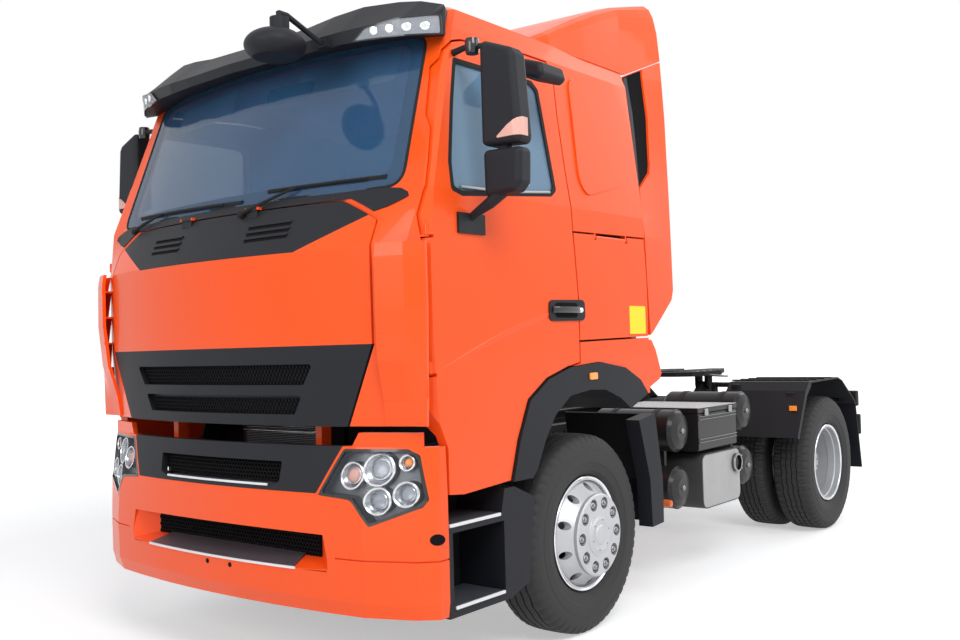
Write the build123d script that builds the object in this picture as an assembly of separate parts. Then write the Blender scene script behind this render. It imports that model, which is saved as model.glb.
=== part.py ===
"""Two-axle cab-over tractor unit, as an assembly of named pieces.

Millimetres, +Z up, the truck faces -Y and its left side is +X. Every place below is
measured from the point on the ground under the middle of the front axle. When the
pieces are written they are shifted together, so that the origin is the middle of the
truck's footprint.
"""
import math
import os

from build123d import *

# ---- driving dimensions -------------------------------------------------------------
WHEELBASE = 3500.0
FRONT_REACH = 1690.0  # front axle to the foremost point of the front mirror
REAR_REACH = 718.0  # rear axle to the rearmost point of the tail lamps
TYRE_RADIUS = 525.0
TYRE_WIDTH = 290.0
TREAD_WIDTH = 226.0
RIM_RADIUS = 290.0  # where the tyre sits
RIM_WIDTH = 236.0
RIM_WALL = 12.0
FRONT_TRACK_HALF = 1050.0
REAR_OUTER_HALF = 1092.0
DUAL_SPACING = 340.0
HUB_BORE = 45.0
SHAFT_CLEARANCE = 0.05
SEAM = 10.0  # gap round a panel that opens
FIT = 0.3  # gap between a piece and the one that carries it

# ---- cab skin: one row for each height ----------------------------------------------
# z, front at the middle, edge (x, y), shoulder (x, y), side (x, y), rear y
CAB_SECTIONS = (
    (870, -1500, (845, -1403), (1105, -1322), (1242, -1240), 600),
    (1190, -1504, (845, -1406), (1105, -1325), (1243, -1242), 600),
    (1560, -1528, (1008, -1403), (1150, -1328), (1246, -1274), 600),
    (1985, -1540, (1010, -1405), (1150, -1330), (1247, -1276), 590),
    (2235, -1420, (1095, -1278), (1205, -1272), (1245, -1242), 580),
    (3010, -1160, (1045, -1006), (1115, -1002), (1150, -975), 590),
    (3120, -1090, (990, -945), (1070, -935), (1108, -900), 592),
    (3175, -1010, (890, -870), (960, -850), (1000, -820), 580),
)
ROOF_Z = CAB_SECTIONS[-1][0]
BELT_Z = 2235.0  # foot of the windscreen
SIDE_WALL = 60.0
FRONT_WALL = 60.0
ROOF_WALL = 45.0
LID_WALL = 42.0
GLASS = 12.0
DOOR_GLASS = 8.0
DOOR_WALL = 50.0
SILL_X = 1182.0  # inner face of the skirt below the floor
FIREWALL_X = 1120.0
HINGE_LENGTH = 60.0
CAB_FLOOR_TOP = 1440.0
CAB_FLOOR = 60.0
CORNER_WALL = 26.0
CORNER_REAR = -1290.0
CAB_SKIRT_Z = 1194.0  # lower edge of the front corners
FIREWALL_Y = -1350.0
FIREWALL = 45.0
FIREWALL_Z = 1265.0
SHELF_Z = 2216.0  # underside of the strip between lid and windscreen

# ---- cab tilt, doors, lids ----------------------------------------------------------
TILT_PIVOT_Y = -1300.0
TILT_PIVOT_Z = 1050.0
TILT_PIVOT_X = 560.0
TILT_PIN = 15.0
DOOR_HINGE_X = 1225.0
DOOR_HINGE_Y = -1279.0
DOOR_HINGE_HEIGHTS = (1450.0, 2050.0)
HINGE_PIN = 5.0
HINGE_EYE = 10.0
HINGE_LUG = 8.0
PIN_CLEARANCE = 0.1
LID_HINGE_Y = -1438.0
LID_HINGE_Z = 2216.0
LID_TOP_Z = 2206.0
LID_HALF_WIDTH = 1004.0
LID_FOOT_HALF_WIDTH = 842.0
LID_FOOT_Z = 1192.0
GRILLE_TOP_Z = 1556.0
LOCKER_HINGE_X = 1236.0
LOCKER_HINGE_Z = 2096.0
LOCKER_PIN_Y = (60.0, 380.0)
LID_HINGE_X = (-260.0, 260.0)
LID_HINGE_SPAN = 90.0

# ---- frame --------------------------------------------------------------------------
RAIL_OUTER = 430.0
RAIL_FLANGE = 80.0
RAIL_WEB = 9.0
RAIL_TOP = 1010.0
RAIL_HEIGHT = 270.0
RAIL_FRONT_Y = -1250.0
RAIL_REAR_Y = WHEELBASE + 640.0
FIFTH_WHEEL_Y = WHEELBASE - 360.0
FIFTH_WHEEL_TOP = 1275.0
KINGPIN_X = 850.0
KINGPIN_RADIUS = 24.0
SPRING_WIDTH = 80.0

Y_SHIFT = (FRONT_REACH - WHEELBASE - REAR_REACH) / 2


# ---- helpers ------------------------------------------------------------------------
def block(x, y, z):
    """Box between pairs of x, y and z."""
    size = (abs(x[1] - x[0]), abs(y[1] - y[0]), abs(z[1] - z[0]))
    return Pos(sum(x) / 2, sum(y) / 2, sum(z) / 2) * Box(*size)


def rod(axis, start, length, radius):
    """Round bar from a start point along an axis letter."""
    turn = {"x": Rot(0, 90, 0), "y": Rot(-90, 0, 0), "z": Rot(0, 0, 0)}[axis]
    place = {"x": (length / 2, 0, 0), "y": (0, length / 2, 0), "z": (0, 0, length / 2)}[axis]
    centre = tuple(a + b for a, b in zip(start, place))
    return Pos(*centre) * turn * Cylinder(radius, length)


def outline(points, radius=0):
    """Closed outline through 3-D points, with its corners rounded."""
    if radius:
        return make_face(FilletPolyline(*points, radius=radius, close=True))
    return make_face(Polyline(*points, close=True))


def side_prism(points, x, radius=0):
    """Solid between two x planes; its outline is a list of (y, z)."""
    face = outline([(x[0], y, z) for y, z in points], radius)
    return extrude(face, amount=x[1] - x[0], dir=(1, 0, 0))


def front_prism(points, y, radius=0):
    """Solid between two y planes; its outline is a list of (x, z)."""
    face = outline([(px, y[0], z) for px, z in points], radius)
    return extrude(face, amount=y[1] - y[0], dir=(0, 1, 0))


def plan_prism(points, z, radius=0):
    """Solid between two z planes; its outline is a list of (x, y)."""
    face = outline([(px, y, z[0]) for px, y in points], radius)
    return extrude(face, amount=z[1] - z[0], dir=(0, 0, 1))


def mirrored(points):
    """Outline of (x, ...) on the left, completed by its mirror image on the right."""
    return list(points) + [(-p[0], *p[1:]) for p in reversed(points)]


def both(shape):
    """A piece and its mirror image across the truck's middle."""
    return [shape, mirror(shape, about=Plane.YZ)]


def turned(profile, centre_x, axle_y, axle_z):
    """Ring about a wheel's axle; profile is a list of (x from the centre, radius)."""
    points = [(centre_x + x, axle_y, axle_z + r) for x, r in profile]
    axle = Axis((0, axle_y, axle_z), (1, 0, 0))
    return revolve(outline(points), axle)


# ---- cab skin -----------------------------------------------------------------------
def cab_section(row, inset, z=None):
    """Plan of the cab at one height, drawn inwards by an inset."""
    height, front, edge, shoulder, side, rear = row
    z = height if z is None else z
    ex, ey = edge[0] - 0.4 * inset, edge[1] + inset
    sx, sy = shoulder[0] - 0.75 * inset, shoulder[1] + 0.75 * inset
    dx, dy = side[0] - inset, side[1] + 0.5 * inset
    front, rear = front + inset, rear - inset
    edges = [
        ThreePointArc((-ex, ey, z), (0, front, z), (ex, ey, z)),
        Line((ex, ey, z), (sx, sy, z)),
        Line((sx, sy, z), (dx, dy, z)),
        Line((dx, dy, z), (dx, rear, z)),
        Line((dx, rear, z), (-dx, rear, z)),
        Line((-dx, rear, z), (-dx, dy, z)),
        Line((-dx, dy, z), (-sx, sy, z)),
        Line((-sx, sy, z), (-ex, ey, z)),
    ]
    return make_face(edges)


def cab_body(inset=0.0, rows=CAB_SECTIONS, roof_inset=None):
    """Solid cab between its lowest and highest section, drawn inwards by an inset."""
    faces = [cab_section(row, inset) for row in rows[:-1]]
    top = rows[-1][0] - (inset if roof_inset is None else roof_inset)
    faces.append(cab_section(rows[-1], inset, top))
    return loft(faces, ruled=True)


def section_at(z):
    """The skin's section at any height, between two rows of the table."""
    for low, high in zip(CAB_SECTIONS, CAB_SECTIONS[1:]):
        if low[0] <= z <= high[0]:
            t = (z - low[0]) / (high[0] - low[0])
            mix = lambda a, b: a + (b - a) * t
            pairs = [tuple(mix(a, b) for a, b in zip(low[k], high[k])) for k in (2, 3, 4)]
            return (z, mix(low[1], high[1]), *pairs, mix(low[5], high[5]))
    raise ValueError(f"no section at {z}")


def half_width(z):
    """Half the cab's width at a height."""
    return section_at(z)[4][0]


BODY = cab_body()
DOOR_OUTLINE = (
    (-1190, 890), (-1190, 1092), (-1250, 1215), (-1286, 1300), (-1286, 2110), (-1262, 2215),
    (-1215, 2355), (-1145, 2575), (-1062, 2815), (-1030, 2890), (-990, 2935), (-920, 2955),
    (-413, 2994), (-225, 2994), (-178, 2940), (-190, 2731), (-184, 2426), (-165, 2108),
    (-130, 1757), (-130, 1436), (-230, 1418), (-429, 1365), (-590, 1272), (-682, 1085),
    (-738, 900), (-1090, 880),
)
WINDOW_OUTLINE = (
    (-1128, 2228), (-1125, 2360), (-1060, 2645), (-1000, 2862), (-380, 2868), (-330, 2830),
    (-285, 2310), (-335, 2275), (-1050, 2208),
)
WINDOW_CORNER = 22.0
SCREEN_OUTLINE = mirrored(((1088, 2248), (1036, 2996)))
SCREEN_CORNER = 90.0
SCUTTLE_OUTLINE = ((-1500, SHELF_Z), (-1305, SHELF_Z), (-1305, 2246), (-1500, 2246))
LOCKER_OUTLINE = (
    (-120, 1548), (-120, 1757), (-153, 2104), (574, 2116), (600, 1790), (592, 1562),
)
COWL_OUTLINE = mirrored(((604, 1981), (LID_HALF_WIDTH + 40, 2162), (LID_HALF_WIDTH + 40, 2300)))
GRILLE_OUTLINE = mirrored((
    (LID_FOOT_HALF_WIDTH - 60, LID_FOOT_Z - 60), (LID_HALF_WIDTH + 60, LID_FOOT_Z - 60),
    (LID_HALF_WIDTH + 60, GRILLE_TOP_Z),
))
GRILLE_SLOTS = (
    ((624, 1379), (685, 1473)),
    ((561, 1244), (610, 1331)),
)
SLOT_DEPTH = 30.0
GLASS_SET = 9.0
DOOR_CUT_X = 1050.0
LOCKER_CUT_X = 1180.0
LOCKER_SWING = 16.0  # room behind the lid's edges as it swings
LID_OUTLINE = mirrored((
    (LID_FOOT_HALF_WIDTH, LID_FOOT_Z), (LID_HALF_WIDTH, GRILLE_TOP_Z), (LID_HALF_WIDTH, LID_TOP_Z),
))
ARCH_OUTER = (
    (-738, 892), (-676, 1082), (-586, 1264), (-429, 1357), (-230, 1410), (59, 1428),
    (317, 1390), (478, 1317), (560, 1236),
)
ARCH_INNER = (
    (362, 1164), (253, 1228), (101, 1280), (-48, 1288), (-238, 1267), (-377, 1181),
    (-470, 1065), (-545, 930), (-588, 892),
)
ARCH_BAND = ARCH_OUTER + ARCH_INNER
CAB_FOOT = ((566, 1540), (640, 1540), (688, 1480), (751, 1344), (724, 1310), (588, 1262), (566, 1262))
ARCH_FACE_X = 1256.0
ARCH_BAND_X = 1188.0
ARCH_CUT = [(y, z + 3) for y, z in ARCH_OUTER] + [(560, 700), (-738, 700)]
LINER_X = 620.0
GUIDE_WALL = 18.0
GUIDE_REAR = -1325.0  # clear of the doors' sweep
GUIDE_FIN = 10.0
GUIDE_FINS = (1600.0, 1745.0, 1890.0)
DEFLECTOR_ROWS = (
    # y, half section from its foot up to its crown (x, z)
    (-260, ((1060, 3003), (1056, 3025), (1052, 3050), (1044, 3085), (1030, 3110), (1000, 3130), (930, 3140))),
    (-115, ((1108, 3103), (1106, 3125), (1102, 3145), (1094, 3165), (1080, 3182), (1050, 3198), (960, 3206))),
    (201, ((1120, 3103), (1120, 3150), (1119, 3220), (1112, 3285), (1094, 3325), (1056, 3348), (960, 3358))),
    (377, ((1120, 3103), (1120, 3180), (1119, 3290), (1112, 3362), (1094, 3402), (1056, 3424), (960, 3434))),
    (600, ((1120, 3103), (1120, 3200), (1118, 3360), (1111, 3440), (1092, 3486), (1052, 3508), (960, 3518))),
    (814, ((1176, 3103), (1170, 3215), (1158, 3385), (1142, 3480), (1120, 3532), (1084, 3560), (990, 3570))),
    (934, ((1204, 3103), (1196, 3229), (1180, 3401), (1158, 3502), (1132, 3558), (1098, 3588), (1010, 3596))),
)
DEFLECTOR_CROWN = 26.0  # rise of the ramp's middle
DEFLECTOR_WALL = 26.0
DEFLECTOR_SEAM = ((598, 2900), (598, 3088), (980, 3246), (980, 2900))
SIDE_DEFLECTOR = (
    (934, 3220), (934, 1835), (909, 1775), (664, 1590), (627, 1568), (612, 1790), (592, 2126),
    (590, 2250), (600, 3010), (606, 3084),
)
FAIRING_ROWS = (
    # z, outer x at the front edge, outer x at the rear edge
    (1500, 1245, 1240), (2135, 1246, 1231), (2430, 1221, 1226), (2625, 1197, 1221), (2867, 1168, 1216),
    (3103, 1121, 1204), (3260, 1120, 1194),
)
FAIRING_Y = (590.0, 940.0)
FAIRING_WALL = 28.0
DEFLECTOR_SLOT = ((570, 3070), (606, 3084), (772, 3153), (766, 2844), (740, 2568), (726, 2516), (590, 2412), (560, 2412))
SLOT_RECESS = 12.0


def grown(points, x, gap):
    """A side outline grown outwards by a gap, as a solid between two x planes."""
    face = outline([(x[0], y, z) for y, z in points])
    return extrude(offset(face, amount=gap, kind=Kind.INTERSECTION), amount=x[1] - x[0], dir=(1, 0, 0))


def front_grown(points, y, gap):
    """A front outline grown outwards by a gap, as a solid between two y planes."""
    face = outline([(px, y[0], z) for px, z in points])
    return extrude(offset(face, amount=gap, kind=Kind.INTERSECTION), amount=y[1] - y[0], dir=(0, 1, 0))


MIRROR_Y = (-1030.0, -920.0)
MIRROR_HEAD = ((1340, 2422), (1548, 2412), (1555, 2452), (1528, 2807), (1506, 2838), (1340, 2903))
MIRROR_LOWER = ((1342, 2404), (1552, 2398), (1546, 2240), (1510, 2204), (1346, 2190))
DOME = (585.0, -1550.0, 2916.0)
WHEEL_X = -520.0  # steering wheel
SEAT_X = 540.0
DASHBOARD_HALF = 1040.0  # clear of the doors' front edge as it swings in
LAMP_DEPTH = 52.0
STEP_TREADS = (
    (((985, -1196), (1236, -1196), (1236, -826), (985, -826)), (748.3, 760)),
    (((985, -1164), (1236, -1164), (1236, -806), (985, -806)), (388.3, 400)),
)
TANK_PLACES = ((1190, 964), (1183, 610), (2157, 1025), (2158, 645))
TANK_RADIUS = 132.0
TANK_X = (520.0, 1130.0)
CROSS_MEMBERS = (
    # front face, depth, (low, high)
    (-1240, 60, (770, 860)),
    (960, 70, (800, 990)),
    (2700, 70, (800, 990)),
    (4060, 70, (760, 995)),
)
AXLE_EYE_Z = (452.0, 598.0)
SPRINGS = (
    # middle, half length, underside, seat on the axle
    (0, 700, 560, 492),
    (WHEELBASE, 590, 612, 601),
)
SPRING_RISE = 92.0
REAR_SPINDLE = 1070.0
RADIATOR_HALF = 310.0
PEDESTAL_X = 330.0
PEDESTAL_Z = 1165.0
JAW_RADIUS = 25.4


# ---- cab pieces ---------------------------------------------------------------------
INNER_BODY = cab_body(
    SIDE_WALL,
    [section_at(CAB_FLOOR_TOP)] + [row for row in CAB_SECTIONS if row[0] > CAB_FLOOR_TOP],
    ROOF_WALL,
)
DOOR_INNER = cab_body(DOOR_WALL)
GLASS_INNER = cab_body(GLASS)
LID_INNER = cab_body(LID_WALL)
FAR = 1400.0  # beyond the cab's side, for cuts from outside
BEHIND = 3000.0  # behind the cab, for cuts from outside


def hinge_lug(z):
    """Pin of one door hinge, on its lug from the cab's jamb."""
    low = z - HINGE_LENGTH / 2
    pin = rod("z", (DOOR_HINGE_X, DOOR_HINGE_Y, low), HINGE_LENGTH, HINGE_PIN)
    lug = block(
        (DOOR_HINGE_X - 50, DOOR_HINGE_X + HINGE_EYE - 2), (DOOR_HINGE_Y - 36, DOOR_HINGE_Y + HINGE_EYE),
        (low - HINGE_LUG, low),
    )
    return (pin + lug) & BODY


def hinge_pocket(z):
    """Space in the door for one lug and its pin."""
    low = z - HINGE_LENGTH / 2
    return block(
        (DOOR_HINGE_X - 62, FAR), (DOOR_HINGE_Y - 44, DOOR_HINGE_Y + 24),
        (low - HINGE_LUG - 6, low + FIT),
    )


def hinge_eye(z):
    """Eye of one door hinge: the door turns about the cab's pin in it."""
    low = z - HINGE_LENGTH / 2 + FIT
    centre = (DOOR_HINGE_X, DOOR_HINGE_Y, low)
    eye = rod("z", centre, HINGE_LENGTH - 10, HINGE_EYE)
    web = block(
        (DOOR_HINGE_X - HINGE_EYE, DOOR_HINGE_X + HINGE_EYE - 2), (DOOR_HINGE_Y, DOOR_HINGE_Y + 40),
        (low, low + HINGE_LENGTH - 10),
    )
    return eye + (web & BODY), rod("z", centre, HINGE_LENGTH + 6, HINGE_PIN + PIN_CLEARANCE)


def tilt_arm():
    """Arm under the fire wall with the eye on which the cab tilts."""
    x = (TILT_PIVOT_X - 20, TILT_PIVOT_X + 20)
    arm = block(x, (TILT_PIVOT_Y - 22, TILT_PIVOT_Y + 38), (TILT_PIVOT_Z, CAB_FLOOR_TOP - CAB_FLOOR / 2))
    eye = rod("x", (x[0], TILT_PIVOT_Y, TILT_PIVOT_Z), 40, 40)
    bore = rod("x", (x[0] - 5, TILT_PIVOT_Y, TILT_PIVOT_Z), 50, TILT_PIN + SHAFT_CLEARANCE)
    return arm + eye - bore


def cab_shell():
    """Hollow cab: floor, roof, walls, door and screen openings, fire wall and hinge pins."""
    shell = BODY - INNER_BODY
    shell -= block((-SILL_X, SILL_X), (CORNER_REAR, BEHIND), (0, CAB_FLOOR_TOP - CAB_FLOOR))
    shell -= block((-SILL_X, SILL_X), (-1700, CORNER_REAR), (0, CAB_FLOOR_TOP - CAB_FLOOR)) & cab_body(CORNER_WALL)
    shell -= block((-FAR, FAR), (-2000, ARCH_OUTER[1][0]), (0, CAB_SKIRT_Z))
    shell -= block((-FAR, FAR), (ARCH_OUTER[0][0], BEHIND), (0, ARCH_OUTER[-1][1]))
    shell -= front_grown(LID_OUTLINE, (-1700, FIREWALL_Y), SEAM)
    wall = block((-FIREWALL_X, FIREWALL_X), (FIREWALL_Y, FIREWALL_Y + FIREWALL), (FIREWALL_Z, 2246))
    toe = block((-FIREWALL_X, FIREWALL_X), (FIREWALL_Y, -1180), (CAB_FLOOR_TOP - CAB_FLOOR, CAB_FLOOR_TOP))
    shell = shell + ((wall + toe) & BODY)
    for side in both(tilt_arm()):
        shell += side
    shell = shell + (BODY & side_prism(SCUTTLE_OUTLINE, (-FIREWALL_X, FIREWALL_X)))
    shell -= front_prism(SCREEN_OUTLINE, (-1700, -900), SCREEN_CORNER)
    for points, inner_x in ((DOOR_OUTLINE, DOOR_CUT_X), (LOCKER_OUTLINE, LOCKER_CUT_X - LOCKER_SWING)):
        for side in both(grown(points, (inner_x, FAR), SEAM)):
            shell -= side
    for side in both(side_prism(ARCH_CUT, (DOOR_CUT_X, FAR))):
        shell -= side
    for side in both(side_prism(CAB_FOOT, (1190, 1240))):
        shell += side
    for z in DOOR_HINGE_HEIGHTS:
        for side in both(hinge_lug(z)):
            shell += side
    for x in LID_HINGE_X:
        shell += lid_hinge_pin(x)
    for side in both(locker_pin()):
        shell += side
    keep = sorted(shell.solids(), key=lambda s: s.volume)[-1]
    return keep


def door():
    """Left door: skin to trim in one, its window cut, with two hinge eyes."""
    panel = (BODY - DOOR_INNER) & side_prism(DOOR_OUTLINE, (DOOR_CUT_X, FAR))
    panel -= grown(ARCH_BAND, (DOOR_CUT_X, FAR), SEAM)
    panel -= side_prism(WINDOW_OUTLINE, (1000, FAR), WINDOW_CORNER)
    for z in DOOR_HINGE_HEIGHTS:
        eye, bore = hinge_eye(z)
        panel -= hinge_pocket(z)
        panel += eye
        panel -= bore
    return panel


def door_glass():
    """Left window, filling the door's cut-out."""
    pane = cab_body(GLASS_SET) - cab_body(GLASS_SET + DOOR_GLASS)
    return pane & side_prism(WINDOW_OUTLINE, (1000, FAR), WINDOW_CORNER)


def windscreen():
    """Bowed screen, flush in its opening."""
    return (BODY - GLASS_INNER) & front_prism(SCREEN_OUTLINE, (-1700, -900), SCREEN_CORNER)


def front_skin(points):
    """The part of the lid's skin inside a front outline."""
    skin = (BODY - LID_INNER) & front_prism(LID_OUTLINE, (-1700, FIREWALL_Y - 8))
    return skin & front_prism(points, (-1700, -1000))


def lid_hinge_pin(x):
    """Pin of one lid hinge, between two lugs on the cab under the screen."""
    pin = rod("x", (x - LID_HINGE_SPAN / 2, LID_HINGE_Y, LID_HINGE_Z), LID_HINGE_SPAN, HINGE_PIN)
    lugs = [
        block(
            (x + side * LID_HINGE_SPAN / 2 - 5, x + side * LID_HINGE_SPAN / 2 + 5),
            (LID_HINGE_Y - 7, LID_HINGE_Y + 60), (LID_HINGE_Z - 4.5, LID_HINGE_Z + 9),
        )
        for side in (-1, 1)
    ]
    return pin + lugs[0] + lugs[1]


def lid_eye(x):
    """Eye of one lid hinge, and the bore through it."""
    length = LID_HINGE_SPAN - 14
    eye = rod("x", (x - length / 2, LID_HINGE_Y, LID_HINGE_Z), length, HINGE_PIN + 3.5)
    web = block(
        (x - length / 2, x + length / 2), (LID_HINGE_Y - 3, LID_HINGE_Y + 7), (LID_TOP_Z - 30, LID_HINGE_Z),
    )
    bore = rod("x", (x - length, LID_HINGE_Y, LID_HINGE_Z), 2 * length, HINGE_PIN + PIN_CLEARANCE)
    return eye + web, bore


def cowl_panel():
    """Upper dark part of the lid, with the lid's hinge eyes."""
    panel = front_skin(COWL_OUTLINE)
    for x in LID_HINGE_X:
        eye, bore = lid_eye(x)
        panel = panel + eye - bore
    return panel


def front_lid():
    """Painted middle of the lid."""
    return front_skin(LID_OUTLINE) - front_prism(COWL_OUTLINE, (-1700, -1000)) - front_prism(
        GRILLE_OUTLINE, (-1700, -1000)
    )


def grille_panel():
    """Lower dark part of the lid, with its two intake slots."""
    panel = front_skin(GRILLE_OUTLINE)
    mouth = BODY - cab_body(SLOT_DEPTH)
    for slot in GRILLE_SLOTS:
        panel -= mouth & front_prism(mirrored(slot), (-1700, -1300), 12)
    return panel


def locker_pin():
    """Upright-closing locker lid's hinge pin along the top of its opening, on two lugs."""
    pin = rod("y", (LOCKER_HINGE_X, LOCKER_PIN_Y[0], LOCKER_HINGE_Z), LOCKER_PIN_Y[1] - LOCKER_PIN_Y[0], HINGE_PIN)
    lugs = [
        block((LOCKER_HINGE_X - 24, LOCKER_HINGE_X + 7), (y - 6, y + 6), (LOCKER_HINGE_Z - 7, LOCKER_HINGE_Z + 34))
        for y in LOCKER_PIN_Y
    ]
    return (pin + lugs[0] + lugs[1]) & BODY


def locker_lid():
    """Left locker lid, with an eye that hangs on its pin."""
    lid = (BODY - DOOR_INNER) & side_prism(LOCKER_OUTLINE, (LOCKER_CUT_X, FAR))
    lid -= block(
        (LOCKER_HINGE_X - 28, FAR), (LOCKER_PIN_Y[0] - 12, LOCKER_PIN_Y[1] + 12),
        (LOCKER_HINGE_Z - 16, LOCKER_HINGE_Z + 60),
    )
    length = LOCKER_PIN_Y[1] - LOCKER_PIN_Y[0] - 20
    start = (LOCKER_HINGE_X, LOCKER_PIN_Y[0] + 10, LOCKER_HINGE_Z)
    eye = rod("y", start, length, HINGE_EYE)
    web = block(
        (LOCKER_HINGE_X - 8, LOCKER_HINGE_X + HINGE_EYE - 2), (start[1], start[1] + length),
        (LOCKER_HINGE_Z - 24, LOCKER_HINGE_Z),
    )
    bore = rod("y", (start[0], start[1] - 5, start[2]), length + 10, HINGE_PIN + PIN_CLEARANCE)
    return lid + ((eye + web) & BODY) - bore


def corner_panels():
    """Air guides that stand off the cab's front corners, each on three fins and two ends."""
    rows = (
        # z, outer face: inboard edge, knee, bend, rear edge
        (1197, (1030, -1360), (1116, -1342), (1196, -1331), (1240, GUIDE_REAR)),
        (1300, (1036, -1372), (1130, -1350), (1216, -1332), (1245, GUIDE_REAR)),
        (1480, (1050, -1420), (1172, -1378), (1240, -1334), (1250, GUIDE_REAR)),
        (1700, (1062, -1440), (1188, -1392), (1250, -1340), (1256, GUIDE_REAR)),
        (1930, (1062, -1440), (1186, -1390), (1250, -1338), (1256, GUIDE_REAR)),
        (1990, (1062, -1430), (1180, -1382), (1248, -1334), (1255, GUIDE_REAR)),
    )
    sections = []
    for z, *outer in rows:
        inner = [(x - 4, y + GUIDE_WALL) for x, y in outer]
        sections.append(outline([(x, y, z) for x, y in outer + inner[::-1]]))
    guide = loft(sections, ruled=True)
    for z in GUIDE_FINS:
        fin = plan_prism(
            ((1066, -1430), (1186, -1382), (1244, -1336), (1246, GUIDE_REAR), (1200, GUIDE_REAR + 20), (1080, -1350)),
            (z, z + GUIDE_FIN),
        )
        guide += fin
    guide -= BODY
    keep = sorted(guide.solids(), key=lambda s: s.volume)[-1]
    return both(keep)


def arch_trims():
    """Dark band round each front wheel arch, with the liner over the wheel."""
    band = side_prism(ARCH_BAND, (ARCH_BAND_X, ARCH_FACE_X))
    liner_line = list(ARCH_INNER)
    upper = [(y * 1.03, z + 14) for y, z in liner_line]
    liner = side_prism(liner_line + upper[::-1], (LINER_X, ARCH_FACE_X))
    hangers = block((LINER_X + 40, ARCH_BAND_X), (-120, 20), (1290, CAB_FLOOR_TOP - CAB_FLOOR))
    return both(band + liner + hangers)


def sun_visor():
    """Visor across the screen's head, thickest at the middle."""
    half = (
        # x, lip front (y, z), lip foot, under-face rear, top rear, crown
        (1172, (-1066, 3038), (-1060, 2950), (-1050, 2955), (-1046, 3080), (-1056, 3090)),
        (1118, (-1112, 3036), (-1102, 2950), (-1000, 2965), (-965, 3090), (-1006, 3117)),
        (1018, (-1180, 3032), (-1168, 2953), (-1005, 2980), (-900, 3130), (-1038, 3146)),
        (905, (-1220, 3024), (-1208, 2957), (-1035, 2985), (-910, 3165), (-1066, 3161)),
        (720, (-1276, 3012), (-1262, 2956), (-1070, 2990), (-925, 3180), (-1112, 3169)),
        (560, (-1318, 2996), (-1304, 2944), (-1100, 2990), (-940, 3180), (-1150, 3150)),
        (380, (-1340, 2987), (-1327, 2942), (-1120, 2990), (-955, 3165), (-1172, 3126)),
    )
    middle = (0, (-1358, 2985), (-1344, 2942), (-1130, 2990), (-960, 3160), (-1190, 3112))
    rows = [(-x, *points) for x, *points in half] + [middle] + [row for row in half[::-1]]
    visor = loft([outline([(x, y, z) for y, z in points]) for x, *points in rows], ruled=True)
    visor -= BODY
    return sorted(visor.solids(), key=lambda s: s.volume)[-1]


def deflector_body(wall=0.0):
    """Solid of the roof deflector, drawn inwards by a wall and run on below and to the rear."""
    rows = [(y, [(x - wall, z - wall) for x, z in half]) for y, half in DEFLECTOR_ROWS]
    if wall:
        rows = [(y, [(half[0][0], 2900), *half[1:]]) for y, half in rows[1:]]
        rows.append((rows[-1][0] + 40, rows[-1][1]))
    faces = []
    for y, half in rows:
        crown = (0, half[-1][1] + DEFLECTOR_CROWN)
        points = [*half, crown, *[(-x, z) for x, z in half[::-1]]]
        faces.append(outline([(x, y, z) for x, z in points]))
    return loft(faces, ruled=True)


def roof_deflector():
    """Air deflector on the roof, flared to its rear edge, open to the rear."""
    shell = deflector_body() - deflector_body(DEFLECTOR_WALL) - BODY
    shell -= side_prism(DEFLECTOR_SEAM, (-FAR, FAR))
    return sorted(shell.solids(), key=lambda s: s.volume)[-1]


def fairing_slab(inner, outer):
    """Slab along the side fairing's outer face, between two depths."""
    faces = []
    for z, front, rear in FAIRING_ROWS:
        corners = ((front + inner, 0), (front + outer, 0), (rear + outer, 1), (rear + inner, 1))
        faces.append(outline([(x, FAIRING_Y[k], z) for x, k in corners]))
    return loft(faces, ruled=True)


def side_deflectors():
    """Side fairings behind the sleeper, each with a dark slot."""
    panel = fairing_slab(-FAIRING_WALL, 0) & side_prism(SIDE_DEFLECTOR, (1000, FAR))
    panel -= fairing_slab(-SLOT_RECESS, 60) & side_prism(DEFLECTOR_SLOT, (1000, FAR))
    panel -= BODY
    return both(panel)


# ---- cab fittings -------------------------------------------------------------------
def mirror_set():
    """Main and lower mirror heads on the left door, with their arms."""
    heads = front_prism(MIRROR_HEAD, MIRROR_Y)
    heads = fillet(heads.edges(), 26)
    lower = front_prism(MIRROR_LOWER, (MIRROR_Y[0] + 4, MIRROR_Y[1] - 6))
    lower = fillet(lower.edges(), 26)
    neck = block((1410, 1460), (-995, -955), (2392, 2437))
    upper_arm = side_arm(((1130, -985, 2880), (1256, -1006, 2888), (1370, -985, 2877)), (17, 13, 13))
    clamp = rod("z", (1288, -1003, 2850), 70, 26)
    lower_arm = side_arm(
        ((1238, -1000, 2108), (1286, -998, 2134), (1360, -992, 2172), (1425, -980, 2226)), (17, 20, 27, 36)
    )
    foot = block((1236, 1258), (-1095, -905), (2040, 2132))
    return heads + lower + neck + clamp + (upper_arm - BODY) + (lower_arm + foot - BODY)


def side_arm(points, radii):
    """Round arm through a list of points, as thick at each as its radius."""
    arm = Pos(*points[0]) * Sphere(radii[0])
    for k, (start, end) in enumerate(zip(points, points[1:])):
        a, b = Vector(*start), Vector(*end)
        plane = Plane(origin=(a + b) / 2, z_dir=b - a)
        low, high = radii[k], radii[k + 1]
        length = (b - a).length
        arm += plane * (Cylinder(low, length) if low == high else Cone(low, high, length))
        arm += Pos(*end) * Sphere(high)
    return arm


def kerb_mirror():
    """Mirror over the left door's window, on its short arm."""
    head = front_prism(((1232, 2930), (1250, 2836), (1385, 2790), (1418, 2812), (1400, 2870)), (-640, -430))
    head = fillet(head.edges(), 22)
    arm = side_arm(((1150, -532, 2905), (1215, -532, 2890), (1270, -532, 2860)), (12, 12, 12))
    return head + (arm - BODY)


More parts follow.
